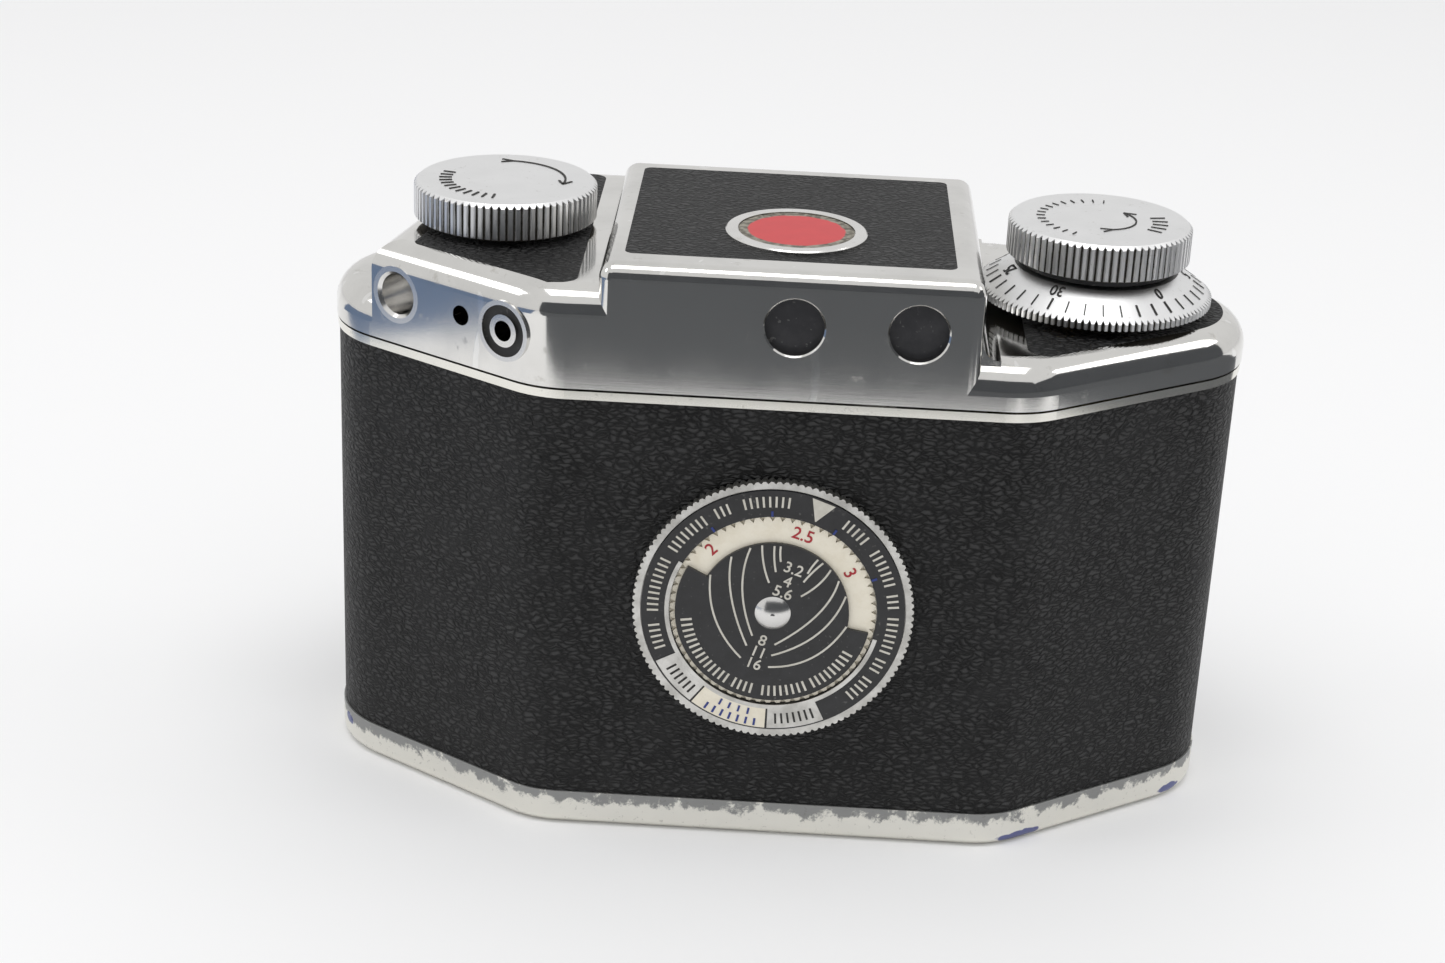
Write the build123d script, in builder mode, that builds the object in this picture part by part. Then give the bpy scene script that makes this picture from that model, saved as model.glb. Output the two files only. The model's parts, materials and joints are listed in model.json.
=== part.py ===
from build123d import *
import os
from math import atan2, cos, hypot, pi, radians, sin, sqrt, tan

# Compact camera for 35 mm film with a built-in rangefinder, as it comes apart on a bench.
# Millimetres, +Z up, the lens looks along -Y. The origin is on the base plane, at the tripod socket's axis.

os.makedirs("parts", exist_ok=True)

# ---- Driving dimensions ------------------------------------------------------------------------

BODY_WIDTH = 107.0          # over the leather
BODY_DEPTH = 47.0           # over the leather, without the lens
FLAT_HALF = 27.64           # half of the flat back, up to the sharp corner with the slanted side
SLANT = radians(33.6)       # turn from the flat back to the slanted side
CORNER_RADIUS = 10.4
END_RADIUS = 11.6

LEATHER = 0.6               # thickness of every leather covering
SHELL_WALL = 1.4
BASE_FLOOR = 1.4
BASE_RIM_TOP = 4.45
LEATHER_TOP = 54.4
SHELL_TOP = 55.4
RIM_PROUD = 0.2             # bright rims stand this far outside the leather
BASE_ROUND = 1.3
SEAM_Y = -9.0               # the removable back ends here on both sides

HOUSING_BOTTOM = 55.7
HOUSING_PROUD = 0.3
HOUSING_WALL = 1.4
WIND_DECK = 61.0
REWIND_DECK = 67.2
FINDER_TOP = 70.4
FINDER_LEFT = 21.0          # finder side wall towards the rewind knob, +X
FINDER_RIGHT = -21.5        # finder side wall towards the wind knob, -X
FINDER_FRONT = -17.6
LOW_ROUND = 3.6             # rounding round the low shoulder's top
HIGH_ROUND = 3.2            # rounding round the high shoulder's top
END_FACE_X = 48.1           # the high shoulder's end face meets the rear slant here
END_FACE_Y = 10.25
END_FACE_TURN = 13.0        # degrees that the end face is turned from square
INLAY_INSET = 2.5           # deck inlays stay this far inside the leather's outline
FINDER_ROUND = 1.8
WIND_BLEND = 2.2
INLAY_DEPTH = 0.5
REWIND_INLAY_GAP = 2.6
REWIND_INLAY_END = 4.6      # from the end face to the rewind inlay
WIND_INLAY_GAP = 5.4

REWIND_X = 33.9
WIND_X = -35.7
KNOB_RADIUS = 10.7
KNOB_HEIGHT = 4.4
KNURLS = 76
REWIND_KNOB_TOP = 72.3
WIND_KNOB_TOP = 71.2
SHAFT_RADIUS = 1.6

EYEPIECE_Z = 64.2
EYEPIECE_RADIUS = 3.48
EYEPIECE_HOLE = 3.3
RANGEFINDER_X = -0.7
VIEWFINDER_X = -14.4
WINDOW_Z = 64.0             # windows on the finder's front
FRONT_MIRROR_X = 15.5
FRONT_WINDOW_RADIUS = 3.0

# Distances along the rear slant are from the flat back's sharp corner.
FLASH_AT = 4.5
FLASH_Z = 61.2
FLASH_RADIUS = 3.54
PIN_AT = 10.84
PIN_Z = 61.46
PIN_RADIUS = 1.16
BUSH_AT = 20.7
BUSH_Z = 61.56
BUSH_OUTER = 3.4

DIAL_Z = 30.2
DIAL_RADIUS = 16.1
DIAL_POST = 2.4

LENS_Z = 29.5
FILM_PLANE = 17.5
GATE_WIDTH = 36.0
GATE_HEIGHT = 24.0
SPROCKET_X = -26.9
SPROCKET_Y = 12.2

# ---- Derived values ----------------------------------------------------------------------------

HALF_DEPTH = BODY_DEPTH / 2
END_HALF = HALF_DEPTH - (BODY_WIDTH / 2 - FLAT_HALF) * tan(SLANT)
BACK_FACE = HALF_DEPTH + HOUSING_PROUD
DECK_PLATE_BOTTOM = 53.6
DECK_PLATE_TOP = 55.2
CASTING_BOTTOM = 4.65
GEAR_DISTANCE = hypot(WIND_X - SPROCKET_X, SPROCKET_Y)
GEAR_ANGLE = atan2(SPROCKET_Y, SPROCKET_X - WIND_X)


def upward(z, x=0.0, y=0.0):
    """Horizontal plane whose normal points up."""
    return Plane(origin=(x, y, z), x_dir=(1, 0, 0), z_dir=(0, 0, 1))


def forward(y, x=0.0, z=0.0):
    """Upright plane whose normal points the way that the lens looks."""
    return Plane(origin=(x, y, z), x_dir=(1, 0, 0), z_dir=(0, -1, 0))


def rearward(y, x=0.0, z=0.0):
    """Upright plane whose normal points out of the back."""
    return Plane(origin=(x, y, z), x_dir=(-1, 0, 0), z_dir=(0, 1, 0))


def on_slant(distance, z, depth=0.0):
    """Plane on the housing's rear slant on the rewind side, at a distance from the flat back's corner."""
    along = (cos(SLANT), -sin(SLANT))
    out = (sin(SLANT), cos(SLANT))
    stand = HOUSING_PROUD - depth
    x = FLAT_HALF + distance * along[0] + stand * out[0]
    y = HALF_DEPTH + distance * along[1] + stand * out[1]
    return Plane(origin=(x, y, z), x_dir=(-along[0], -along[1], 0), z_dir=(out[0], out[1], 0))


def body_outline(grow=0.0):
    """The body's eight-sided outline with round corners, moved outwards by grow."""
    half_width = BODY_WIDTH / 2 + grow
    half_depth = HALF_DEPTH + grow
    flat = FLAT_HALF + grow * tan(SLANT / 2)
    end = END_HALF + grow * tan((pi / 2 - SLANT) / 2)
    quarter = [(flat, half_depth), (half_width, end)]
    right = quarter + [(x, -y) for x, y in reversed(quarter)]
    left = [(-x, y) for x, y in reversed(right)]
    with BuildSketch() as outline:
        Polygon(*right, *left, align=None)
        ends = outline.vertices().filter_by(lambda v: abs(v.X) > half_width - 1)
        fillet(ends, END_RADIUS + grow)
        corners = outline.vertices().filter_by(lambda v: abs(v.X) < flat + 0.01)
        fillet(corners, CORNER_RADIUS + grow)
    return outline.sketch


def deck_area(grow, side_x):
    """The part of the body's outline beyond a finder side wall: side_x > 0 is the rewind side."""
    reach = BODY_WIDTH
    with BuildSketch() as area:
        add(body_outline(grow))
        with Locations((side_x + (reach / 2 if side_x > 0 else -reach / 2), 0)):
            Rectangle(reach, reach, mode=Mode.INTERSECT)
    return area.sketch


def toothed_outline(tip, root, count, share=0.5, turn=0.0):
    """Closed outline with pointed or flat-topped teeth; share is a tooth's width at the root over the pitch."""
    pitch = 2 * pi / count
    points = []
    for index in range(count):
        centre = turn + index * pitch
        for angle, radius in (
            (-share / 2, root),
            (-share / 5, tip),
            (share / 5, tip),
            (share / 2, root),
        ):
            points.append((radius * cos(centre + angle * pitch), radius * sin(centre + angle * pitch)))
    with BuildSketch() as outline:
        Polygon(*points, align=None)
    return outline.sketch


def dome_height(bulge, radius, at):
    """Height of a shallow dome (or hollow, with a negative bulge) at a distance from its axis."""
    sphere = (radius**2 + bulge**2) / (2 * abs(bulge))
    drop = sphere - sqrt(sphere**2 - at**2)
    return bulge - drop if bulge > 0 else bulge + drop


def tube(plane, length, outer, inner=0.0):
    """Plain tube or rod that starts on a plane and runs along its normal."""
    with BuildPart() as piece:
        with BuildSketch(plane):
            Circle(outer)
            if inner > 0:
                Circle(inner, mode=Mode.SUBTRACT)
        extrude(amount=length)
    return piece


def knurled_knob(x, top, hub_bottom):
    """Knob with V-grooves round its edge, a small bevel on top and a hub under it."""
    bottom = top - KNOB_HEIGHT
    with BuildPart() as knob:
        with BuildSketch(upward(bottom, x)):
            add(toothed_outline(KNOB_RADIUS, KNOB_RADIUS - 0.4, KNURLS, share=1.0))
        extrude(amount=KNOB_HEIGHT)
        with BuildSketch(forward(0, x)):
            Polygon(
                (0, bottom),
                (KNOB_RADIUS - 0.5, bottom),
                (KNOB_RADIUS + 0.1, bottom + 0.4),
                (KNOB_RADIUS + 0.1, top - 0.5),
                (KNOB_RADIUS - 0.5, top),
                (0, top),
                align=None,
            )
        revolve(axis=Axis((x, 0, 0), (0, 0, 1)), mode=Mode.INTERSECT)
        with BuildSketch(upward(hub_bottom, x)):
            Circle(4.6)
        extrude(amount=bottom - hub_bottom + 0.5)
        with BuildSketch(upward(hub_bottom, x)):
            Circle(SHAFT_RADIUS)
        extrude(amount=top - 1.2 - hub_bottom, mode=Mode.SUBTRACT)
    return knob


def finish(builder, name):
    """Label a finished piece and write it as its own STEP file."""
    builder.part.label = name
    export_step(builder.part, f"parts/{name}.step")


# ---- Removable back: shell with the base, its leather and its rims ------------------------------

LOCK_X = 33.0
LOCK_PAD_TOP = 3.0
LOCK_DISC_RADIUS = 8.0
SOCKET_OUTER = 5.5

with BuildPart() as back_shell:
    with BuildSketch():
        add(body_outline(RIM_PROUD))
    extrude(amount=BASE_RIM_TOP)
    fillet(back_shell.edges().group_by(Axis.Z)[0], BASE_ROUND)
    with BuildSketch(upward(BASE_RIM_TOP)):
        add(body_outline(-LEATHER))
    extrude(amount=LEATHER_TOP - BASE_RIM_TOP)
    with BuildSketch(upward(LEATHER_TOP)):
        add(body_outline(RIM_PROUD))
    extrude(amount=SHELL_TOP - LEATHER_TOP)
    with BuildSketch(upward(BASE_RIM_TOP)):
        with Locations((0, SEAM_Y - BODY_DEPTH)):
            Rectangle(2 * BODY_WIDTH, 2 * BODY_DEPTH)
    extrude(amount=SHELL_TOP, mode=Mode.SUBTRACT)
    with BuildSketch(upward(BASE_FLOOR)):
        add(body_outline(-LEATHER - SHELL_WALL))
    extrude(amount=SHELL_TOP, mode=Mode.SUBTRACT)
    with BuildSketch(upward(0, LOCK_X)):
        Circle(LOCK_DISC_RADIUS + 1.4)
    extrude(amount=LOCK_PAD_TOP)
    with BuildSketch(upward(0, LOCK_X)):
        Circle(LOCK_DISC_RADIUS + 0.2)
    extrude(amount=1.6, mode=Mode.SUBTRACT)
    with BuildSketch(upward(0, LOCK_X)):
        Circle(2.3)
    extrude(amount=LOCK_PAD_TOP, mode=Mode.SUBTRACT)
    with BuildSketch(upward(0)):
        Circle(SOCKET_OUTER)
    extrude(amount=BASE_FLOOR, mode=Mode.SUBTRACT)
    with BuildSketch(rearward(HALF_DEPTH - 5, 0, DIAL_Z)):
        Circle(1.5)
    extrude(amount=6, mode=Mode.SUBTRACT)
finish(back_shell, "back_shell")

with BuildPart() as back_leather:
    with BuildSketch(upward(BASE_RIM_TOP)):
        add(body_outline(0))
        add(body_outline(-LEATHER), mode=Mode.SUBTRACT)
        with Locations((0, SEAM_Y - BODY_DEPTH)):
            Rectangle(2 * BODY_WIDTH, 2 * BODY_DEPTH, mode=Mode.SUBTRACT)
    extrude(amount=LEATHER_TOP - BASE_RIM_TOP)
    with BuildSketch(rearward(HALF_DEPTH - 3, 0, DIAL_Z)):
        Circle(DIAL_POST)
    extrude(amount=6, mode=Mode.SUBTRACT)
finish(back_leather, "back_leather")

# Tripod socket: a flanged bush in the base, threaded 1/4-20.
SOCKET_THREAD = 3.175
SOCKET_DEPTH = 6.0

with BuildPart() as tripod_socket:
    with BuildSketch(upward(0)):
        Circle(SOCKET_OUTER)
    extrude(amount=SOCKET_DEPTH + 1.2)
    with BuildSketch(upward(BASE_FLOOR)):
        Circle(SOCKET_OUTER + 1.5)
    extrude(amount=1.0)
    with BuildSketch(upward(0)):
        Circle(SOCKET_THREAD)
    extrude(amount=SOCKET_DEPTH, mode=Mode.SUBTRACT)
finish(tripod_socket, "tripod_socket")

# Base lock: a disc in a round recess, a half-ring bail that folds out of it, and a cam inside.
with BuildPart() as lock_disc:
    with BuildSketch(upward(0.3, LOCK_X)):
        Circle(LOCK_DISC_RADIUS)
    extrude(amount=1.2)
    with BuildSketch(upward(0.3, LOCK_X)):
        Circle(7.2)
        Circle(4.2, mode=Mode.SUBTRACT)
        with Locations((-5.0, 0)):
            Rectangle(10, 20, mode=Mode.SUBTRACT)
        with Locations((0, 5.7), (0, -5.7)):
            Rectangle(2.6, 3.0)
    extrude(amount=0.9, mode=Mode.SUBTRACT)
    with BuildSketch(upward(1.5, LOCK_X)):
        Circle(2.2)
    extrude(amount=LOCK_PAD_TOP + 0.1 - 1.5)
    with BuildSketch(upward(LOCK_PAD_TOP + 0.1, LOCK_X)):
        with Locations((-2.0, 0)):
            SlotOverall(13.0, 5.6)
    extrude(amount=1.0)
finish(lock_disc, "lock_disc")

with BuildPart() as lock_bail:
    with BuildSketch(upward(0.35, LOCK_X)):
        Circle(6.9)
        Circle(4.6, mode=Mode.SUBTRACT)
        with Locations((-5.0, 0)):
            Rectangle(10, 20, mode=Mode.SUBTRACT)
        with Locations((0, 5.75), (0, -5.75)):
            Circle(0.3)
    extrude(amount=0.6)
finish(lock_bail, "lock_bail")

# Pressure plate behind the film, and the leaf spring that backs it.
with BuildPart() as pressure_plate:
    with BuildSketch(rearward(FILM_PLANE + 0.6, 0, LENS_Z)):
        RectangleRounded(42.0, 31.0, 2.0)
    extrude(amount=1.2)
finish(pressure_plate, "pressure_plate")

with BuildPart() as pressure_spring:
    with BuildSketch(upward(LENS_Z - 4.0)):
        with BuildLine():
            ThreePointArc((-15, 21.2), (0, 20.9), (15, 21.2))
            Line((15, 21.2), (15, 21.5))
            Line((15, 21.5), (-15, 21.5))
            Line((-15, 21.5), (-15, 21.2))
        make_face()
    extrude(amount=8.0)
finish(pressure_spring, "pressure_spring")

# Depth-of-field dial on the back, from the leather outwards.
DIAL_FACE = HALF_DEPTH + 1.8
DIAL_TEETH = 120
DISC_RADIUS = 11.8
DISC_TEETH = 64
RING_INNER = 11.9
CENTRE_RADIUS = 8.7         # inside the cut-out that shows the distance scale
SKIRT_RADIUS = 11.2         # below the cut-out
CUT_START = -62             # ends of the cut-out, clockwise from the top as seen from behind
CUT_END = 100
RIVET_RADIUS = 2.05
RIVET_DOME = 0.8


def dial_point(clock, radius):
    """Point on a dial sketch, by its angle in degrees clockwise from the top as seen from behind."""
    return (radius * sin(radians(clock)), radius * cos(radians(clock)))



with BuildPart() as film_reminder_dial:
    with BuildSketch(rearward(HALF_DEPTH + 0.2, 0, DIAL_Z)):
        add(toothed_outline(DIAL_RADIUS, DIAL_RADIUS - 0.25, DIAL_TEETH, share=0.9))
        Circle(DIAL_POST + 0.1, mode=Mode.SUBTRACT)
    extrude(amount=0.7)
    with BuildSketch(rearward(HALF_DEPTH + 0.9, 0, DIAL_Z)):
        add(toothed_outline(DIAL_RADIUS, DIAL_RADIUS - 0.25, DIAL_TEETH, share=0.9))
        Circle(DIAL_RADIUS - 0.9, mode=Mode.SUBTRACT)
    extrude(amount=0.5)
finish(film_reminder_dial, "film_reminder_dial")

with BuildPart() as distance_disc:
    with BuildSketch(rearward(HALF_DEPTH + 1.0, 0, DIAL_Z)):
        add(toothed_outline(DISC_RADIUS, DISC_RADIUS - 0.6, DISC_TEETH, share=1.0))
        Circle(DIAL_POST + 0.1, mode=Mode.SUBTRACT)
    extrude(amount=0.3)
finish(distance_disc, "distance_disc")

with BuildPart() as dial_ring:
    with BuildSketch(rearward(HALF_DEPTH + 1.0, 0, DIAL_Z)):
        Circle(DIAL_RADIUS - 1.0)
        Circle(RING_INNER, mode=Mode.SUBTRACT)
    extrude(amount=0.6)
finish(dial_ring, "dial_ring")

with BuildPart() as dial_centre:
    with BuildSketch(rearward(HALF_DEPTH + 1.4, 0, DIAL_Z)):
        with BuildLine():
            middle = (CUT_START + CUT_END) / 2
            ThreePointArc(
                dial_point(CUT_START, CENTRE_RADIUS),
                dial_point(middle, CENTRE_RADIUS),
                dial_point(CUT_END, CENTRE_RADIUS),
            )
            Line(dial_point(CUT_END, CENTRE_RADIUS), dial_point(CUT_END, SKIRT_RADIUS))
            ThreePointArc(
                dial_point(CUT_END, SKIRT_RADIUS),
                dial_point(middle + 180, SKIRT_RADIUS),
                dial_point(CUT_START, SKIRT_RADIUS),
            )
            Line(dial_point(CUT_START, SKIRT_RADIUS), dial_point(CUT_START, CENTRE_RADIUS))
        make_face()
        Circle(1.5, mode=Mode.SUBTRACT)
    extrude(amount=0.4)
    with BuildSketch(rearward(HALF_DEPTH - LEATHER, 0, DIAL_Z)):
        Circle(DIAL_POST)
        Circle(1.5, mode=Mode.SUBTRACT)
    extrude(amount=LEATHER + 1.4)
finish(dial_centre, "dial_centre")

with BuildPart() as dial_rivet:
    with BuildSketch(rearward(HALF_DEPTH - LEATHER - SHELL_WALL, 0, DIAL_Z)):
        Circle(1.5)
    extrude(amount=DIAL_FACE - HALF_DEPTH + LEATHER + SHELL_WALL)
    with BuildSketch(upward(DIAL_Z)):
        with BuildLine():
            Line((0, DIAL_FACE), (RIVET_RADIUS, DIAL_FACE))
            ThreePointArc(
                (RIVET_RADIUS, DIAL_FACE),
                (RIVET_RADIUS / 2, DIAL_FACE + dome_height(RIVET_DOME, RIVET_RADIUS, RIVET_RADIUS / 2)),
                (0, DIAL_FACE + RIVET_DOME),
            )
            Line((0, DIAL_FACE + RIVET_DOME), (0, DIAL_FACE))
        make_face()
    revolve(axis=Axis((0, 0, DIAL_Z), (0, 1, 0)))
finish(dial_rivet, "dial_rivet")

# ---- Top housing: one shell with a raised finder, a high shoulder and a low shoulder -------------


def beyond_end_face(inset=0.0):
    """Area past the high shoulder's end face, which starts an inset before the face."""
    size = 2 * BODY_WIDTH
    face = Pos(END_FACE_X, END_FACE_Y) * Rot(0, 0, -END_FACE_TURN)
    with BuildSketch() as area:
        with Locations(face * Pos(size / 2 - inset, 0)):
            Rectangle(size, size)
    return area.sketch


def deck_inlay(side_x, gap):
    """Deck inlay: set in from the body's outline, and kept a gap away from the finder's wall."""
    inset = INLAY_INSET
    half_width = BODY_WIDTH / 2 - inset
    half_depth = HALF_DEPTH - inset
    flat = FLAT_HALF - inset * tan(SLANT / 2)
    end = END_HALF - inset * tan((pi / 2 - SLANT) / 2)
    side = 1 if side_x > 0 else -1
    start = abs(side_x) + gap
    corners = [(start, min(half_depth, half_depth - (start - flat) * tan(SLANT)))]
    if start < flat - 1:
        corners.append((flat, half_depth))
    corners.append((half_width, end))
    corners += [(x, -y) for x, y in reversed(corners)]
    with BuildSketch() as inlay:
        Polygon(*[(side * x, y) for x, y in corners], align=None)
        fillet(inlay.vertices().filter_by(lambda v: abs(v.X) > half_width - 1), END_RADIUS - inset)
        fillet(inlay.vertices().filter_by(lambda v: abs(v.X) < start + 0.01), 1.8)
    return inlay.sketch


def rewind_inlay():
    """Inlay of the high shoulder, cut off along the end face."""
    with BuildSketch() as inlay:
        add(deck_inlay(FINDER_LEFT, REWIND_INLAY_GAP))
        add(beyond_end_face(REWIND_INLAY_END), mode=Mode.SUBTRACT)
        fillet(inlay.vertices().group_by(Axis.X)[-1], 1.2)
    return inlay.sketch


def finder_inlay():
    """Rectangle of leather let into the finder's top, close to its front edge."""
    with BuildSketch() as inlay:
        with Locations((0.1, 2.5)):
            RectangleRounded(36.8, 33.8, 1.0)
    return inlay.sketch


with BuildPart() as top_housing:
    with BuildSketch(upward(HOUSING_BOTTOM)):
        add(body_outline(HOUSING_PROUD))
    extrude(amount=WIND_DECK - HOUSING_BOTTOM)
    fillet(top_housing.edges().group_by(Axis.Z)[-1], LOW_ROUND)

with BuildPart() as rewind_shoulder:
    with BuildSketch(upward(HOUSING_BOTTOM)):
        add(body_outline(HOUSING_PROUD))
        add(beyond_end_face(), mode=Mode.SUBTRACT)
    extrude(amount=REWIND_DECK - HOUSING_BOTTOM)
    fillet(rewind_shoulder.edges().group_by(Axis.Z)[-1], HIGH_ROUND)
    split(bisect_by=Plane(origin=(FINDER_LEFT - 3, 0, 0), z_dir=(1, 0, 0)), keep=Keep.TOP)

with BuildPart() as finder_block:
    with BuildSketch(upward(HOUSING_BOTTOM)):
        with Locations(((FINDER_LEFT + FINDER_RIGHT) / 2, (BACK_FACE + FINDER_FRONT) / 2)):
            RectangleRounded(FINDER_LEFT - FINDER_RIGHT, BACK_FACE - FINDER_FRONT, 1.4)
    extrude(amount=FINDER_TOP - HOUSING_BOTTOM)
    fillet(finder_block.edges().group_by(Axis.Z)[-1], FINDER_ROUND)

# Hollow blend between the finder's wall and the low shoulder, which runs out into the shoulder's edge.
with BuildPart() as wind_blend:
    with BuildSketch(forward(-HALF_DEPTH - 1)):
        with BuildLine():
            reach = FINDER_RIGHT - WIND_BLEND
            top = WIND_DECK + WIND_BLEND
            Line((FINDER_RIGHT + 1, WIND_DECK - 3), (FINDER_RIGHT + 1, top))
            Line((FINDER_RIGHT + 1, top), (FINDER_RIGHT, top))
            RadiusArc((FINDER_RIGHT, top), (reach, WIND_DECK), WIND_BLEND)
            Line((reach, WIND_DECK), (reach, WIND_DECK - 3))
            Line((reach, WIND_DECK - 3), (FINDER_RIGHT + 1, WIND_DECK - 3))
        make_face()
    extrude(amount=-BODY_DEPTH - 2)
    with BuildSketch(upward(HOUSING_BOTTOM)):
        add(body_outline(HOUSING_PROUD - 1.6))
    extrude(amount=WIND_DECK + WIND_BLEND + 1 - HOUSING_BOTTOM, mode=Mode.INTERSECT)

housing_holes = [
    (rearward(BACK_FACE, RANGEFINDER_X, EYEPIECE_Z), EYEPIECE_HOLE),
    (rearward(BACK_FACE, VIEWFINDER_X, EYEPIECE_Z), EYEPIECE_HOLE),
    (on_slant(FLASH_AT, FLASH_Z), FLASH_RADIUS),
    (on_slant(PIN_AT, PIN_Z), PIN_RADIUS),
    (on_slant(BUSH_AT, BUSH_Z), BUSH_OUTER),
    (forward(FINDER_FRONT, RANGEFINDER_X, WINDOW_Z), FRONT_WINDOW_RADIUS),
    (forward(FINDER_FRONT, FRONT_MIRROR_X, WINDOW_Z), FRONT_WINDOW_RADIUS),
]

with BuildPart() as housing_hollow:
    inset = HOUSING_PROUD - HOUSING_WALL
    with BuildSketch(upward(HOUSING_BOTTOM)):
        add(body_outline(inset))
    extrude(amount=WIND_DECK - HOUSING_WALL - HOUSING_BOTTOM)
    with BuildSketch(upward(HOUSING_BOTTOM)):
        add(deck_area(inset, FINDER_LEFT - 3))
        add(beyond_end_face(3.0), mode=Mode.SUBTRACT)
    extrude(amount=REWIND_DECK - HOUSING_WALL - HOUSING_BOTTOM)
    with BuildSketch(upward(HOUSING_BOTTOM)):
        with Locations(((FINDER_LEFT + FINDER_RIGHT) / 2, (BACK_FACE + FINDER_FRONT) / 2)):
            Rectangle(
                FINDER_LEFT - FINDER_RIGHT - 2 * HOUSING_WALL,
                BACK_FACE - FINDER_FRONT - 2 * HOUSING_WALL,
            )
    extrude(amount=FINDER_TOP - HOUSING_WALL - HOUSING_BOTTOM)

with BuildPart() as housing:
    add(top_housing.part)
    add(rewind_shoulder.part)
    add(finder_block.part)
    add(wind_blend.part)
    add(housing_hollow.part, mode=Mode.SUBTRACT)
    with BuildSketch(upward(REWIND_DECK - INLAY_DEPTH)):
        add(rewind_inlay())
    extrude(amount=INLAY_DEPTH + 1, mode=Mode.SUBTRACT)
    with BuildSketch(upward(WIND_DECK - INLAY_DEPTH)):
        add(deck_inlay(FINDER_RIGHT, WIND_INLAY_GAP))
    extrude(amount=INLAY_DEPTH + 1, mode=Mode.SUBTRACT)
    with BuildSketch(upward(FINDER_TOP - INLAY_DEPTH)):
        add(finder_inlay())
    extrude(amount=INLAY_DEPTH + 1, mode=Mode.SUBTRACT)
    for plane, radius in housing_holes:
        with BuildSketch(plane.offset(1)):
            Circle(radius)
        extrude(amount=-7.5, mode=Mode.SUBTRACT)
    for x in (RANGEFINDER_X, VIEWFINDER_X):
        with BuildSketch(rearward(BACK_FACE, x, EYEPIECE_Z)):
            Circle(EYEPIECE_RADIUS)
        extrude(amount=EYEPIECE_HOLE - EYEPIECE_RADIUS, taper=45, mode=Mode.SUBTRACT)
    with BuildSketch(forward(FINDER_FRONT - 1, VIEWFINDER_X, WINDOW_Z)):
        RectangleRounded(9.0, 6.5, 0.8)
    extrude(amount=-4.0, mode=Mode.SUBTRACT)
    with BuildSketch(upward(HOUSING_BOTTOM, REWIND_X)):
        Circle(4.0)
    extrude(amount=20, mode=Mode.SUBTRACT)
    with BuildSketch(upward(HOUSING_BOTTOM, WIND_X)):
        Circle(5.0)
    extrude(amount=20, mode=Mode.SUBTRACT)
finish(housing, "top_housing")

with BuildPart() as rewind_deck_leather:
    with BuildSketch(upward(REWIND_DECK - INLAY_DEPTH)):
        add(rewind_inlay())
        with Locations((REWIND_X, 0)):
            Circle(4.0, mode=Mode.SUBTRACT)
    extrude(amount=INLAY_DEPTH)
finish(rewind_deck_leather, "rewind_deck_leather")

with BuildPart() as wind_deck_leather:
    with BuildSketch(upward(WIND_DECK - INLAY_DEPTH)):
        add(deck_inlay(FINDER_RIGHT, WIND_INLAY_GAP))
        with Locations((WIND_X, 0)):
            Circle(5.0, mode=Mode.SUBTRACT)
    extrude(amount=INLAY_DEPTH)
finish(wind_deck_leather, "wind_deck_leather")

BADGE_X = -0.35
BADGE_Y = 8.9
BADGE_RADIUS = 8.1
ENAMEL_RADIUS = 6.6

with BuildPart() as finder_leather:
    with BuildSketch(upward(FINDER_TOP - INLAY_DEPTH)):
        add(finder_inlay())
        with Locations((BADGE_X, BADGE_Y)):
            Circle(BADGE_RADIUS - 0.8, mode=Mode.SUBTRACT)
    extrude(amount=INLAY_DEPTH)
finish(finder_leather, "finder_leather")

with BuildPart() as badge_bezel:
    with BuildSketch(upward(FINDER_TOP - INLAY_DEPTH, BADGE_X, BADGE_Y)):
        Circle(BADGE_RADIUS - 0.8)
    extrude(amount=INLAY_DEPTH + 0.1)
    with BuildSketch(upward(FINDER_TOP, BADGE_X, BADGE_Y)):
        Circle(BADGE_RADIUS)
    extrude(amount=0.4)
    chamfer(badge_bezel.edges().group_by(Axis.Z)[-1], 0.15)
    with BuildSketch(upward(FINDER_TOP, BADGE_X, BADGE_Y)):
        Circle(ENAMEL_RADIUS + 0.1)
    extrude(amount=1, mode=Mode.SUBTRACT)
finish(badge_bezel, "badge_bezel")

finish(tube(upward(FINDER_TOP, BADGE_X, BADGE_Y), 0.3, ENAMEL_RADIUS), "badge_enamel")

# ---- Finder optics ------------------------------------------------------------------------------

INNER_BACK = BACK_FACE - HOUSING_WALL
INNER_FRONT = FINDER_FRONT + HOUSING_WALL
GLASS = 1.4

with BuildPart() as eyepieces:
    for x in (RANGEFINDER_X, VIEWFINDER_X):
        with BuildSketch(rearward(INNER_BACK - GLASS, x, EYEPIECE_Z)):
            Circle(3.7)
        extrude(amount=GLASS)
finish(eyepieces, "eyepieces")

with BuildPart() as viewfinder_front_lens:
    with BuildSketch(forward(INNER_FRONT + GLASS, VIEWFINDER_X, WINDOW_Z)):
        RectangleRounded(10.4, 8.0, 0.8)
    extrude(amount=GLASS)
finish(viewfinder_front_lens, "viewfinder_front_lens")

with BuildPart() as rangefinder_windows:
    for x in (RANGEFINDER_X, FRONT_MIRROR_X):
        with BuildSketch(forward(INNER_FRONT + 1.0, x, WINDOW_Z)):
            Circle(3.6)
        extrude(amount=1.0)
finish(rangefinder_windows, "rangefinder_windows")

# Carrier for the mirrors: a shelf that hangs from the finder's roof and holds both mirrors.
MIRROR_WIDTH = 7.5
MIRROR_THICK = 1.0
MIRROR_Y = -4.0
SHELF_Z = WINDOW_Z - 4.4

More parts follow.
